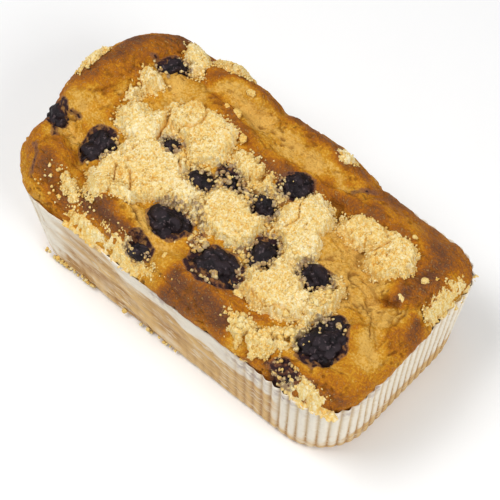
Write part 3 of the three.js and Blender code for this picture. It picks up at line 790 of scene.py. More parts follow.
def build_clump(name, seed, material):
    low, high = (np.array(corner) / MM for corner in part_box(name))
    xs = np.arange(low[0] - CRUMB_MARGIN, high[0] + CRUMB_MARGIN, CRUMB_CELL)
    ys = np.arange(low[1] - CRUMB_MARGIN, high[1] + CRUMB_MARGIN, CRUMB_CELL)
    x, y = np.meshgrid(xs, ys, indexing="ij")
    x = x + CRUMB_JITTER * noise(x, y, 0, 0.5, seed + 5)
    y = y + CRUMB_JITTER * noise(x, y, 0, 0.5, seed + 6)
    thick, inside = clump_shape(x, y, name, seed)
    top, doubled, faces = two_sided(inside > -CRUMB_SKIRT)
    x, y, thick, inside = (values.ravel()[top] for values in (x, y, thick, inside))
    cracks = crumb_cracks(x, y)
    thick = np.maximum(0.2, thick - cracks)
    # Skewed by the thickness, so that the grains carry on down a clump's sides.
    sx, sy = x + CRUMB_SKEW * thick, y - CRUMB_SKEW * thick
    large, large_tone = grains(sx, sy, CRUMB_GRAIN_LARGE, seed)
    small, small_tone = grains(sx, sy, CRUMB_GRAIN_SMALL, seed + 1)
    lumps = 0.9 * layered_noise(x, y, 0, 7, seed + 2)
    hollows = 0.9 * smooth(0.55, 0.95, noise(x, y, 0, 1.7, seed + 3))
    rough = 0.4 * large + 0.65 * small + 0.4 * noise(sx, sy, 0, 0.55, seed + 4) - 0.5
    rise = thick + (rough + lumps - hollows) * smooth(0, 1.2, inside)
    crust = crust_height(x, y)
    bottom = crust - CRUMB_ROOT
    z = np.maximum(crust + np.where(inside > 0, rise, inside), bottom + 0.05)
    z = np.where(doubled, z, np.minimum(z, crust - 0.4))
    underside = np.stack([x, y, bottom], axis=-1)[doubled]
    points = np.concatenate([np.stack([x, y, z], axis=-1), underside])
    sway = [CRUMB_SWAY * noise(*points.T, CRUMB_GRAIN_LARGE, seed + 12 + axis) for axis in (0, 1)]
    points[:, :2] += np.stack(sway, axis=-1)
    tone = 0.40 + CRUMB_GOLDEN.get(name, 0) + 0.18 * noise(x, y, 0, 11, seed + 7)
    gap = (1 - small) * (1 - 0.5 * large)
    # Painted shade: darker between the grains, in hollows and cracks, and towards the clump's edge.
    grain_shade = 0.35 * hollows + 0.3 * smooth(0.9, 0, inside) + 0.9 * gap + 0.4 * cracks
    attributes = {
        "tone": np.clip(tone + 0.12 * large_tone + 0.2 * small_tone, 0, 1),
        "grain_shade": np.clip(grain_shade, 0, 1),
        "stain": crumb_stain(x, y),
    }
    for label, values in attributes.items():
        attributes[label] = np.concatenate([values, values[doubled]])
    piece = make_piece(name + "_grainy", points, faces, attributes, material, False)
    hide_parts(name)


# ---------------------------------------------------------------- loose crumbs and grains
CRUMB_LUMPY = 0.5


def unit_ball(subdivisions):
    """Points and triangles of a ball of radius 1."""
    ball = bmesh.new()
    bmesh.ops.create_icosphere(ball, subdivisions=subdivisions, radius=1)
    points = np.array([v.co[:] for v in ball.verts])
    faces = np.array([[v.index for v in f.verts] for f in ball.faces])
    ball.free()
    return points, faces


def scattered_balls(middles, sizes, subdivisions, seed):
    """One mesh of many lumpy balls, each turned its own way."""
    ball, faces = unit_ball(subdivisions)
    random = np.random.default_rng(seed)
    points, triangles, tones = [], [], []
    for at, (middle, size) in enumerate(zip(middles, sizes)):
        turn = Matrix.Rotation(random.uniform(0, 6.28), 3, Vector(random.normal(size=3)))
        shape = ball * random.uniform(0.75, 1.2, 3)
        bumps = 1 + CRUMB_LUMPY * noise(*(ball * 1.3 + at * 5.1).T, 1.0, seed)
        points.append((shape * bumps[:, None]) @ np.array(turn) * size + middle)
        triangles.append(faces + at * len(ball))
        tones.append(np.full(len(ball), random.uniform()))
    return np.concatenate(points), triangles, np.concatenate(tones)


def make_crumbs(name, middles, sizes, subdivisions, material):
    middles, sizes = np.concatenate(middles), np.concatenate(sizes)
    points, faces, tone = scattered_balls(middles, sizes, subdivisions, 6)
    stain = crumb_stain(points[:, 0], points[:, 1])
    # Painted shade like the clumps' grain gaps, stronger on the more golden crumbs.
    attributes = {"tone": 0.4 + 0.4 * tone, "grain_shade": 0.3 * tone, "stain": stain}
    make_piece(name, points, faces, attributes, material)


GRAINS_EACH_MM2 = 3.4
GRAIN_RADIUS = (0.25, 0.6)
GRAIN_EDGE = 1.4
GRAIN_STRAY = 0.5
GRAIN_ON_TOP = 0.05

# The eight crumbs that lie loose on the crust in the model.
LOOSE_CRUMBS = 8
LOOSE_CRUMB_SEED = 20
LOOSE_CRUMB_SIZES = (1.0, 1.7)
LOOSE_CRUMB_SHAPE = (1.2, 0.9, 0.8)
LOOSE_CRUMB_LIFT = 0.25
LOOSE_FROM_CLUMP = (2.4, 9.0)
LOOSE_FROM_BERRY = 3.0
LOOSE_APART = 5.0
LOOSE_FROM_WALL = 3.0

# Small crumbs strewn over a place: x, y, reach along X and Y, how many, and the largest radius.
STREWN = [
    (-61, -39, 8, 4, 26, 0.9),
    (-66, -43, 6, 2, 12, 0.6),
    (-66, 12, 3, 11, 16, 0.8),
    (-62, 22, 5, 4, 8, 0.7),
    (-58, 31, 4, 4, 8, 0.7),
    (-88, 3, 3, 6, 14, 0.8),
    (35, -41, 9, 4, 50, 1.4),
    (49, -33, 4, 6, 40, 1.4),
    (51, -14, 3, 10, 30, 1.2),
    (66, -45, 13, 2.4, 34, 0.9),
    (84, 24, 2, 15, 34, 0.8),
    (-30, -45, 24, 2.5, 34, 0.8),
    (-5, -44, 6, 2, 8, 0.7),
    (13, -33, 1.0, 1.0, 4, 1.7),
    (11, -37.5, 6, 1.2, 14, 0.9),
    (-9, -16, 7, 3, 60, 1.3),
    (-28, -1, 9, 2, 50, 1.2),
    (-13, 0, 7, 3, 60, 1.2),
    (-4, 4, 6, 3, 40, 1.2),
    (-3, -25, 4, 4, 50, 1.1),
    (14, -18, 3, 3, 20, 1.0),
    (-21, -18, 5, 2, 20, 1.0),
    (-14, -9, 5, 2, 16, 1.0),
    (18, -3, 4, 2, 16, 1.0),
    (2, 17, 5, 3, 20, 1.1),
    (14, -3, 4, 4, 18, 1.2),
    (28, -7, 7, 2, 16, 1.2),
    (57, -22, 3, 9, 14, 1.0),
    (64, -20, 3, 3, 6, 1.1),
    (59, 31, 0.6, 0.6, 3, 1.1),
    (76, 24, 0.6, 0.6, 3, 1.0),
    (-2, 5, 10, 3, 16, 1.0),
]
ROUND_BERRY_EACH_MM = 5
ROUND_BERRY_REACH = 2.2
# Crumbs stuck to the case's foot on the pressed side: x, z, reach along each, and how many.
STUCK = [
    (-62, 3, 9, 2.5, 30),
    (-46, 2.5, 6, 2, 14),
    (-12, 2, 14, 1.5, 12),
]


def surface_height(x, y):
    """Height of whatever lies on top at each point: crust, crumb clump or berry."""
    ground = crust_height(x, y)
    height = ground.copy()
    for number, name in enumerate(CLUMPS):
        thick, inside = clump_shape(x, y, name, clump_seed(number))
        height = np.maximum(height, ground + np.where(inside > 0, thick, 0))
    for berry in BERRIES.values():
        off = ellipse_distance(x, y, berry["outline"])
        top = berry["middle"][2] + berry["half"][2] * np.sqrt(np.clip(1 - off**2, 0, 1))
        height = np.where(off < 1, np.maximum(height, top), height)
    return height


def crumbs_round_berries(random):
    """Places of crumbs that fell on the berries' edges, on the sides where a clump is near."""
    found = []
    for berry in BERRIES.values():
        bx, by, along, across, turn = berry["outline"]
        count = int(ROUND_BERRY_EACH_MM * (along + across))
        around, out = random.uniform(0, 2 * math.pi, count), random.uniform(0.72, 1.12, count)
        u, v = along * out * np.cos(around), across * out * np.sin(around)
        c, s = math.cos(math.radians(turn)), math.sin(math.radians(turn))
        found.append(np.stack([bx + u * c - v * s, by + u * s + v * c]))
    x, y = np.concatenate(found, axis=1)
    near = beside(x, y, LOBES) < ROUND_BERRY_REACH
    return x[near], y[near]


def on_the_cake(x, y):
    return nearest_wall(x, y)[2] + np.maximum(0, spill(x, y)) > 0.6


def build_grains(material):
    """Single grains of crumb, thickest along the clumps' edges and straying a little beyond them."""
    random = np.random.default_rng(5)
    middles, sizes = [], []
    for number, (name, clump) in enumerate(CLUMPS.items()):
        lobes = np.array([lobe[:4] for lobe in clump[1:]])
        reach = lobes[:, 2:].max(axis=1, keepdims=True) + 3
        low, high = (lobes[:, :2] - reach).min(axis=0), (lobes[:, :2] + reach).max(axis=0)
        count = int(np.prod(high - low) * GRAINS_EACH_MM2)
        x, y = random.uniform(low[0], high[0], count), random.uniform(low[1], high[1], count)
        height, inside = clump_shape(x, y, name, clump_seed(number))
        chance = 0.75 * np.exp(np.minimum(0, inside) / GRAIN_STRAY)
        chance = np.where(inside > GRAIN_EDGE, GRAIN_ON_TOP, chance)
        chosen = (random.uniform(size=count) < chance) & (inside > -4 * GRAIN_STRAY)
        chosen = chosen & (beside_berry(x, y) > -2.0) & on_the_cake(x, y)
        x, y, height, inside = x[chosen], y[chosen], height[chosen], inside[chosen]
        size = random.uniform(*GRAIN_RADIUS, len(x))
        lift = np.where(inside > 0, height * random.uniform(0.2, 1, len(x)), 0)
        lift = np.where(inside > GRAIN_EDGE, height + 0.2, lift)
        middles.append(np.stack([x, y, crust_height(x, y) + lift + size * 0.3], axis=-1))
        sizes.append(size)
    make_crumbs("crumb_grains", middles, sizes, 1, material)


def model_random(state):
    """The same repeatable numbers from 0 to 1 that place the model's loose crumbs."""
    while True:
        state = state * 16807 % 2147483647
        yield state / 2147483647


def loose_crumb_places():
    """Where the model's loose crumbs lie: near a clump, but clear of every clump and berry."""
    random = model_random(LOOSE_CRUMB_SEED)
    places = []
    while len(places) < LOOSE_CRUMBS:
        x = mix(-CASE_BASE["length"] / 2, CASE_BASE["length"] / 2, next(random))
        y = mix(-CASE_BASE["width"] / 2, CASE_BASE["width"] / 2, next(random))
        size = mix(*LOOSE_CRUMB_SIZES, next(random))
        away = [math.dist((x, y), b["middle"][:2]) - b["half"][0] for b in BERRIES.values()]
        apart = [math.dist((x, y), place[:2]) for place in places]
        near_clump = LOOSE_FROM_CLUMP[0] <= float(beside(x, y, LOBES)) <= LOOSE_FROM_CLUMP[1]
        clear = min(away) >= LOOSE_FROM_BERRY and min(apart, default=LOOSE_APART) >= LOOSE_APART
        if near_clump and clear and float(nearest_wall(x, y)[2]) >= LOOSE_FROM_WALL:
            places.append((x, y, size))
    return places


def build_loose_crumbs(material):
    """The model's loose crumbs, lumpy and sitting on the crust."""
    ball, faces = unit_ball(4)
    points, triangles, tones = [], [], []
    for at, (x, y, size) in enumerate(loose_crumb_places()):
        place = ball * size * LOOSE_CRUMB_SHAPE
        lumps = 1 + 0.35 * noise(*(place + 9 * at).T, 1.1, 7)
        lumps = lumps + 0.3 * noise(*(place + 9 * at).T, 0.45, 8)
        turned = (place * lumps[:, None]) @ np.array(Matrix.Rotation(x, 3, "Z")).T
        height = float(crust_height(x, y)) + LOOSE_CRUMB_LIFT * size
        points.append(turned + np.array([x, y, height]))
        triangles.append(faces + at * len(ball))
        tones.append(np.full(len(ball), 0.3 + 0.05 * at))
    points, tone = np.concatenate(points), np.concatenate(tones)
    # Painted shade like the clumps' grain gaps, stronger on the more golden crumbs.
    attributes = {"tone": tone + 0.2, "grain_shade": 0.5 * tone, "stain": 0 * tone}
    make_piece("crumbs_loose", points, triangles, attributes, material)


def build_strewn_crumbs(material):
    """Crumbs of many sizes on the crust, the berries and the clumps."""
    random = np.random.default_rng(15)
    middles, sizes = [], []
    for sx, sy, reach_x, reach_y, count, largest in STREWN:
        x = sx + reach_x * random.normal(size=count) * 0.55
        y = sy + reach_y * random.normal(size=count) * 0.55
        size = 0.3 + (largest - 0.3) * random.uniform(size=count) ** 2
        kept = on_the_cake(x, y)
        x, y, size = x[kept], y[kept], size[kept]
        middles.append(np.stack([x, y, surface_height(x, y) + 0.4 * size], axis=-1))
        sizes.append(size)
    x, y = crumbs_round_berries(random)
    size = 0.35 + 0.65 * random.uniform(size=len(x)) ** 2
    middles.append(np.stack([x, y, surface_height(x, y) + 0.3 * size], axis=-1))
    sizes.append(size)
    for sx, sz, reach_x, reach_z, count in STUCK:
        x = sx + reach_x * random.normal(size=count) * 0.55
        z = np.maximum(0.6, sz + reach_z * random.normal(size=count) * 0.55)
        y = -mix(CASE_BASE["width"], CASE_RIM["width"], z / CASE_HEIGHT) / 2
        foot = np.array([foot_inset(height) for height in z])
        middles.append(np.stack([x, y + foot - 0.3, z], axis=-1))
        sizes.append(random.uniform(0.4, 0.9, count))
    make_crumbs("crumbs_strewn", middles, sizes, 2, material)


# ---------------------------------------------------------------- berries
DRUPELET_RADIUS = 1.55
DRUPELET_RISE = 1.1
DRUPELET_STRAY = 0.35
WRINKLE_DEPTH = 0.3
# Berries of a mean radius over this get a finer mesh.
LARGE_BERRY = 6.4


def build_berry(name, berry, seed, material):
    """A baked berry: round drupelets, some of them shrunken, on a squashed and wrinkled body."""
    mean_radius = float(np.prod(berry["half"])) ** (1 / 3)
    ball, faces = unit_ball(6 if mean_radius > LARGE_BERRY else 5)
    count = int(4 * (mean_radius / DRUPELET_RADIUS) ** 2)
    at = np.arange(count) + 0.5
    # Spread evenly over the ball along a spiral, then shaken.
    polar, around = np.arccos(1 - 2 * at / count), at * math.pi * (3 - math.sqrt(5))
    across = np.sin(polar)
    middles = np.stack([across * np.cos(around), across * np.sin(around), np.cos(polar)], axis=-1)
    random = np.random.default_rng(seed)
    stray = DRUPELET_STRAY * DRUPELET_RADIUS / mean_radius
    middles = middles + random.normal(size=middles.shape) * stray
    middles = middles / np.linalg.norm(middles, axis=1, keepdims=True)
    radii = DRUPELET_RADIUS * random.uniform(0.85, 1.25, count)
    gaps = np.stack([np.linalg.norm(ball - middle, axis=1) for middle in middles], axis=-1)
    gaps = gaps * mean_radius / radii
    plump = random.uniform(0.1, 1.0, count)[gaps.argmin(axis=1)]
    dome = plump * np.sqrt(np.clip(1 - (gaps.min(axis=1) / 1.15) ** 2, 0, 1))
    place = ball * berry["half"] + seed * 7.3
    wrinkles = WRINKLE_DEPTH * noise(*place.T, 0.9, seed)
    sag = 0.26 * noise(*place.T, 6, seed + 1) + 0.18 * noise(*place.T, 3, seed + 2)
    rise = (DRUPELET_RISE * (dome - 0.5) + wrinkles) / mean_radius
    shaped = ball * np.minimum(0.97 + rise + sag, 1.14)[:, None] * berry["half"]
    turn = np.array(Matrix.Rotation(math.radians(berry["outline"][4]), 3, "Z"))
    points = shaped @ turn.T + berry["middle"]
    # The drupelets' domes also carry painted light and shade into the berry's colour.
    piece = make_piece(name + "_fruit", points, [faces], {"dome": dome}, material)
    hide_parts(name)


# ---------------------------------------------------------------- the paper case
PAPER_SAMPLES = 8
PAPER_ROWS = 38
PAPER_ROW_DRAW = 1.25
PAPER_INNER_ROWS = 3
PAPER_THICKNESS = 0.4
PLEAT_SHARPNESS = 1.6
FOLD_SLOPE = 0.2


def pleat_depth(x, y):
    """Depth of the pleats at a point of the rim, and how far they are pressed flat there."""
    pressed = np.clip((-y - 40) / 6, 0, 1) * np.clip((55 - x) / 30, 0, 1)
    return mix(PLEAT_DEPTH, 0.5, pressed), pressed * smooth(-76, -62, x)


def paper_columns():
    sides, places, waves, pleat = [], [], [], []
    random = np.random.default_rng(8)
    for side in range(4):
        pleats = PLEATS_LONG if side % 2 else PLEATS_SHORT
        steps = np.arange(pleats * PAPER_SAMPLES) / PAPER_SAMPLES
        sides.append(np.full(len(steps), side))
        places.append(2 * steps / pleats - 1)
        from_groove = 1 - np.abs(2 * (steps % 1) - 1)
        waves.append(0.5 - (1 - from_groove) ** PLEAT_SHARPNESS)
        pleat.append(np.repeat(random.uniform(0.65, 1.0, pleats), PAPER_SAMPLES))
    return tuple(np.concatenate(values) for values in (sides, places, waves, pleat))


def foot_inset(z):
    """How far the case's rounded bottom edge stands in from its wall."""
    t = np.clip(1 - z / BASE_ROUND, 0, 1)
    return BASE_ROUND * (1 - math.sqrt(1 - t * t))


def paper_ring(columns, z, inset):
    """Points round the case at a height, and how deep in a groove each of them lies."""
    side, place, wave, size = columns
    x, y, nx, ny = outline_points(side, place, case_outline(z, inset + foot_inset(z)))
    depth, pressed = pleat_depth(x, y)
    depth = depth * mix(0.35, 1, z / CASE_HEIGHT) * size * (1 - 0.8 * pressed)
    sloped = z + FOLD_SLOPE * x
    folds = 1 - 2.4 * np.abs(noise(x * 0.2, y, sloped * 0.8, 5, 82))
    folds = folds + 0.7 * noise(x * 0.25, y, sloped, 3, 83)
    folds = folds + 0.6 * noise(x * 0.5 + z * 0.8, y, z, 2, 84)
    crumple = 0.16 * layered_noise(x, y, z, 7, 81) + pressed * (0.55 * folds - 0.3)
    shift = np.minimum(wave * depth + crumple - 0.12, 0.5 * PLEAT_DEPTH)
    top = rim_height(x, y) if z >= CASE_HEIGHT else np.full(len(x), z)
    # On the pressed side the folds take the grooves' place; the paper's colour uses this for painted
    # shade.
    groove = mix(0.5 - wave, 0.5 - 0.45 * folds, pressed)
    return np.stack([x + nx * shift, y + ny * shift, top], axis=-1), groove


def build_paper_case(material):
    columns = paper_columns()
    outer = CASE_HEIGHT * np.linspace(0, 1, PAPER_ROWS) ** PAPER_ROW_DRAW
    inner = np.linspace(CASE_HEIGHT, PAPER_THICKNESS, PAPER_INNER_ROWS)
    rings = [paper_ring(columns, z, 0) for z in outer]
    rings += [paper_ring(columns, z, PAPER_THICKNESS) for z in inner]
    index = np.arange(len(rings) * len(columns[0])).reshape(len(rings), -1)
    faces = [band_quads(lower, upper) for lower, upper in zip(index, index[1:])]
    faces += [fan(index[0], index.size), fan(index[-1][::-1], index.size + 1)]
    points = np.concatenate([ring for ring, _ in rings] + [[[0, 0, 0], [0, 0, PAPER_THICKNESS]]])
    groove = np.concatenate([groove for _, groove in rings] + [[0.5, 0.5]])
    grease_and_groove_shade, tinge = paper_stains(*points.T, groove)
    attributes = {"groove": groove, "grease_and_groove_shade": grease_and_groove_shade, "tinge": tinge}
    piece = make_piece("case_pleated", points, faces, attributes, material)
    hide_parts("paper_case")


# Berry juice on the case: x, y, z, reach.
JUICE = [
    (43, -47, 36, 11),
    (60, -47, 38, 7),
    (86, -20, 40, 9),
    (86, 4, 42, 7),
    (86, -38, 38, 6),
    (-88, -20, 38, 9),
    (-4, -47, 40, 6),
]


def paper_stains(x, y, z, groove):
    """Grease, with painted shade running up the pleats' grooves, and berry juice in the paper at each
    point, from 0 to 1.
    """
    front = smooth(-38, -44, y)
    low_end = smooth(76, 83, x)
    pressed = front * smooth(66, 48, x) * smooth(-78, -36, x)
    bands = smooth(-0.5, 0.3, noise(x * 0.15, y, z + 0.1 * x, 3.2, 91))
    white_from = 46 - 15 * smooth(-44, -16, x) - 0.05 * x + 2 * noise(x, y, z, 9, 94)
    below_rim = smooth(2, -2, z - white_from)
    patches = 0.5 + 0.5 * noise(x * 0.3, y * 0.3, z, 4, 92)
    corner_height = mix(12, 22, smooth(60, 76, x) * front)
    places = [
        pressed * (0.3 + 0.7 * below_rim) * (0.65 + 0.3 * bands),
        low_end * smooth(17, 8, z),
        0.75 * smooth(corner_height, 3, z),
        # Painted shade: tan shadows running up the pleats' grooves.
        0.8 * smooth(0.3, 0.9, groove) * smooth(38, 8, z),
        0.7 * (1 - front) * (1 - low_end) * smooth(30, 12, z) * patches,
    ]
    grease_and_groove_shade = np.clip(np.max(places, axis=0) + 0.12 * noise(x, y, z, 8, 93), 0, 1)
    tinge = np.zeros(len(x))
    for jx, jy, jz, reach in JUICE:
        away = np.sqrt((x - jx) ** 2 + (y - jy) ** 2 + (2 * (z - jz)) ** 2)
        tinge = np.maximum(tinge, fade(away, reach))
    return grease_and_groove_shade, tinge


# ---------------------------------------------------------------- materials
class Look:
    """A material and short ways to add nodes to it."""

    def __init__(self, name, roughness, specular):
        self.material = bpy.data.materials.new(name)
        self.material.use_nodes = True
        self.tree = self.material.node_tree
        self.shader = self.tree.nodes["Principled BSDF"]
        self.shader.inputs["Roughness"].default_value = roughness
        self.shader.inputs["Specular IOR Level"].default_value = specular
        self.place = self.tree.nodes.new("ShaderNodeTexCoord").outputs["Object"]

    def link(self, source, target):
        if isinstance(source, (int, float)):
            target.default_value = source
        elif isinstance(source, tuple):
            target.default_value = (*source, 1)
        else:
            self.tree.links.new(source, target)

    def attribute(self, name):
        node = self.tree.nodes.new("ShaderNodeAttribute")
        node.attribute_name = name
        return node.outputs["Fac"]

    def noise(self, size, detail=3.0, stretch=(1, 1, 1), tilt=0.0):
        """Noise from about 0 to 1 with lumps of a size in millimetres, stretched and then tilted."""
        node = self.tree.nodes.new("ShaderNodeTexNoise")
        node.inputs["Scale"].default_value = 1 / (size * MM)
        node.inputs["Detail"].default_value = detail
        place = self.place
        if stretch != (1, 1, 1):
            mapping = self.tree.nodes.new("ShaderNodeMapping")
            mapping.vector_type = "TEXTURE"
            mapping.inputs["Scale"].default_value = [1 / share for share in stretch]
            mapping.inputs["Rotation"].default_value = (0, tilt, 0)
            self.link(place, mapping.inputs["Vector"])
            place = mapping.outputs["Vector"]
        self.link(place, node.inputs["Vector"])
        return node.outputs["Fac"]

    def math(self, operation, a, b=0.0, clamp=False):
        node = self.tree.nodes.new("ShaderNodeMath")
        node.operation = operation
        node.use_clamp = clamp
        self.link(a, node.inputs[0])
        self.link(b, node.inputs[1])
        return node.outputs[0]

    def step(self, value, low, high):
        """0 at low, 1 at high, and a smooth curve between."""
        node = self.tree.nodes.new("ShaderNodeMapRange")
        node.interpolation_type = "SMOOTHSTEP"
        self.link(value, node.inputs["Value"])
        node.inputs["From Min"].default_value = low
        node.inputs["From Max"].default_value = high
        return node.outputs["Result"]

    def ramp(self, value, *stops):
        node = self.tree.nodes.new("ShaderNodeValToRGB")
        elements = node.color_ramp.elements
        while len(elements) < len(stops):
            elements.new(0.5)
        for element, (position, colour) in zip(elements, stops):
            element.position = position
            element.color = (*colour, 1)
        self.link(value, node.inputs["Fac"])
        return node.outputs["Color"]

    def blend(self, amount, first, second):
        node = self.tree.nodes.new("ShaderNodeMix")
        node.data_type = "RGBA"
        self.link(amount, node.inputs[0])
        self.link(first, node.inputs[6])
        self.link(second, node.inputs[7])
        return node.outputs[2]

    def vary(self, value, texture, amount, clamp=False):
        """The value, swinging up and down with a texture of 0 to 1."""
        swing = self.math("MULTIPLY", self.math("SUBTRACT", texture, 0.5), amount)
        return self.math("ADD", value, swing, clamp)

    def tint(self, base, amount, most, colour):
        """The base, blended towards a colour by no more than the given share."""
        return self.blend(self.math("MULTIPLY", amount, most), base, colour)

    def colour(self, value):
        self.link(value, self.shader.inputs["Base Color"])

    def bump(self, height, depth):
        node = self.tree.nodes.new("ShaderNodeBump")
        node.inputs["Distance"].default_value = depth * MM
        self.link(height, node.inputs["Height"])
        self.link(node.outputs["Normal"], self.shader.inputs["Normal"])


def crust_look():
    look = Look("baked_crust", roughness=0.6, specular=0.1)
    fine = look.noise(1.0, 4)
    level = look.vary(look.attribute("browning"), look.noise(5, stretch=(0.6, 1, 1)), 0.5)
    baked = look.ramp(
        look.vary(level, fine, 0.95, clamp=True),
        (0.02, (0.80, 0.47, 0.105)),
        (0.20, (0.67, 0.32, 0.024)),
        (0.40, (0.54, 0.20, 0.010)),
        (0.60, (0.39, 0.125, 0.012)),
        (0.78, (0.26, 0.090, 0.022)),
        (0.96, (0.15, 0.058, 0.028)),
    )
    # Painted shade: the crust darkens in its hollows.
    baked = look.tint(baked, look.attribute("shaded_pores"), 0.75, (0.24, 0.085, 0.008))
    baked = look.tint(baked, look.step(look.noise(1.0, 2), 0.60, 0.70), 0.35, (0.75, 0.45, 0.13))
    stain = look.vary(look.attribute("stain"), look.noise(2.2, 4), 0.9)
    baked = look.tint(baked, look.step(stain, 0.35, 0.75), 0.7, (0.20, 0.09, 0.055))
    look.colour(look.blend(look.step(stain, 0.85, 1.05), baked, (0.040, 0.018, 0.020)))
    look.bump(look.math("ADD", fine, look.noise(0.6, 3)), 0.8)
    return look.material


def crumb_look():
    look = Look("butter_crumb", roughness=0.95, specular=0.08)
    baked = look.ramp(
        look.vary(look.attribute("tone"), look.noise(0.7, 3), 1.5, clamp=True),
        (0.02, (0.92, 0.84, 0.58)),
        (0.35, (0.86, 0.72, 0.37)),
        (0.65, (0.82, 0.60, 0.21)),
        (0.98, (0.76, 0.42, 0.08)),
    )
    # Painted shade between the grains, in hollows and cracks and at the clumps' edges, in a deep
    # golden colour.
    baked = look.tint(baked, look.attribute("grain_shade"), 0.75, (0.76, 0.42, 0.06))
    stain = look.vary(look.attribute("stain"), look.noise(1.6, 4), 2.4)
    look.colour(look.tint(baked, look.step(stain, 0.6, 1.2), 0.75, (0.25, 0.15, 0.12)))
    look.bump(look.noise(0.4, 3), 0.3)
    return look.material


def berry_look():
    look = Look("baked_berry", roughness=0.55, specular=0.2)
    # Painted shade and light: near black between the drupelets and lighter on their domes.
    painted_shade = look.blend(look.attribute("dome"), (0.004, 0.002, 0.003), (0.026, 0.016, 0.020))
    flecks = look.step(look.noise(1.3, 4), 0.58, 0.66)
    look.colour(look.tint(painted_shade, flecks, 0.35, (0.20, 0.14, 0.15)))
    look.bump(look.noise(0.5, 3), 0.3)
    return look.material


def paper_look():
    look = Look("greased_paper", roughness=0.5, specular=0.3)
    streaks = look.noise(1.5, 5, (0.2, 0.2, 1), math.atan(FOLD_SLOPE))
    grease_and_groove_shade = look.vary(look.attribute("grease_and_groove_shade"), look.noise(3, 4, (0.3, 0.3, 1)), 0.5)
    groove = look.vary(look.attribute("groove"), streaks, 0.7)
    # Painted shade: tan in the pleats' grooves, white on their ridges.
    dry = look.tint((0.86, 0.79, 0.66), look.step(groove, 0.15, 1.0), 0.8, (0.56, 0.38, 0.17))
    # Greased paper, darker in the grooves and along the pressed side's folds as painted shade.
    greased = look.blend(look.step(groove, 0.0, 0.95), (0.72, 0.47, 0.18), (0.42, 0.20, 0.045))
    # Lighter and darker streaks: partly the paper's greasy streaks, partly painted highlight on the
    # folds' crests and painted shade in their troughs.
    greased = look.tint(greased, look.step(streaks, 0.54, 0.64), 0.7, (0.80, 0.68, 0.48))
    greased = look.tint(greased, look.step(streaks, 0.44, 0.34), 0.6, (0.46, 0.25, 0.08))
    paper = look.blend(look.step(grease_and_groove_shade, 0.25, 0.8), dry, greased)
    juice = look.math("MULTIPLY", look.attribute("tinge"), look.step(look.noise(2.5, 3), 0.35, 0.65))
    look.colour(look.tint(paper, juice, 0.75, (0.29, 0.19, 0.19)))
    look.bump(look.math("ADD", look.noise(1.6, 4), look.math("MULTIPLY", streaks, 2.0)), 0.5)
    return look.material


def floor_look():
    look = Look("pale_floor", roughness=0.9, specular=0.1)
    look.colour(look.ramp(look.noise(40, 2), (0.0, (0.93, 0.93, 0.93)), (1.0, (0.95, 0.95, 0.95))))
    return look.material


# ---------------------------------------------------------------- floor, light and camera
CAMERA_AZIMUTH = 41.0
CAMERA_ELEVATION = 57.5
CAMERA_ROLL = 0.5
CAMERA_DISTANCE = 900.0
CAMERA_TARGET = (0.0, 0.0, 30.0)
# The photograph's middle lies this far to the right of the target, and below it.
CAMERA_RIGHT = 1.78
CAMERA_DOWN = 3.95
CAMERA_LENS = 163.9
SENSOR = 36.0
FLOOR_HALF = 1500.0
WORLD_LIGHT = 0.38


def direction(azimuth, elevation):
    """Unit vector from the object towards a viewer at this azimuth and elevation."""
    a, e = math.radians(azimuth), math.radians(elevation)
    return Vector((math.sin(a) * math.cos(e), -math.cos(a) * math.cos(e), math.sin(e)))


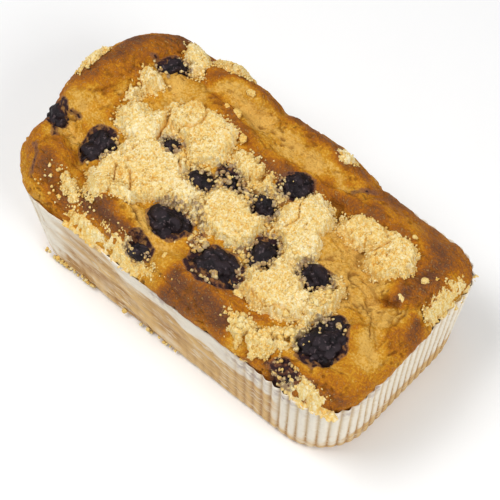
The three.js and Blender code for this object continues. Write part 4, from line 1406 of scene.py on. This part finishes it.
def add_camera():
    back = direction(CAMERA_AZIMUTH, CAMERA_ELEVATION)
    level = Vector((math.cos(math.radians(CAMERA_AZIMUTH)), math.sin(math.radians(CAMERA_AZIMUTH)), 0))
    upright = back.cross(level)
    roll = math.radians(CAMERA_ROLL)
    right = level * math.cos(roll) + upright * math.sin(roll)
    up = upright * math.cos(roll) - level * math.sin(roll)
    camera_data = bpy.data.cameras.new("camera")
    camera_data.sensor_width = SENSOR
    camera_data.lens = CAMERA_LENS
    camera = bpy.data.objects.new("camera", camera_data)
    bpy.context.collection.objects.link(camera)
    place = Vector(CAMERA_TARGET) + back * CAMERA_DISTANCE + right * CAMERA_RIGHT - up * CAMERA_DOWN
    turn = Matrix((right, up, back)).transposed().to_4x4()
    camera.matrix_world = Matrix.Translation(place * MM) @ turn
    bpy.context.scene.camera = camera


def add_softbox(name, azimuth, elevation, distance, size, power):
    """A square soft light that faces the cake."""
    lamp = bpy.data.lights.new(name, "AREA")
    lamp.shape = "SQUARE"
    lamp.size = size
    lamp.energy = power
    light = bpy.data.objects.new(name, lamp)
    towards = direction(azimuth, elevation)
    light.location = Vector(CAMERA_TARGET) * MM + towards * distance
    light.rotation_euler = towards.to_track_quat("Z", "Y").to_euler()
    bpy.context.collection.objects.link(light)


def add_stage():
    mesh = bpy.data.meshes.new("floor")
    h = FLOOR_HALF * MM
    mesh.from_pydata([(-h, -h, 0), (h, -h, 0), (h, h, 0), (-h, h, 0)], [], [(0, 1, 2, 3)])
    mesh.materials.append(floor_look())
    floor = bpy.data.objects.new("floor", mesh)
    bpy.context.collection.objects.link(floor)
    world = bpy.data.worlds.new("studio")
    world.use_nodes = True
    background = world.node_tree.nodes["Background"]
    background.inputs["Color"].default_value = (1, 1, 1, 1)
    background.inputs["Strength"].default_value = WORLD_LIGHT
    bpy.context.scene.world = world
    add_softbox("key_light", azimuth=-50, elevation=64, distance=0.9, size=0.5, power=5.0)
    add_softbox("fill_light", azimuth=80, elevation=42, distance=1.1, size=0.5, power=5.2)
    bpy.context.scene.view_settings.view_transform = "Standard"


# ---------------------------------------------------------------- everything together
def build():
    crumb = crumb_look()
    berry = berry_look()
    build_cake(crust_look())
    for number, name in enumerate(CLUMPS):
        build_clump(name, clump_seed(number), crumb)
    build_grains(crumb)
    build_loose_crumbs(crumb)
    build_strewn_crumbs(crumb)
    for seed, (name, place) in enumerate(BERRIES.items()):
        build_berry(name, place, 300 + 10 * seed, berry)
    build_paper_case(paper_look())
    add_stage()
    add_camera()


build()
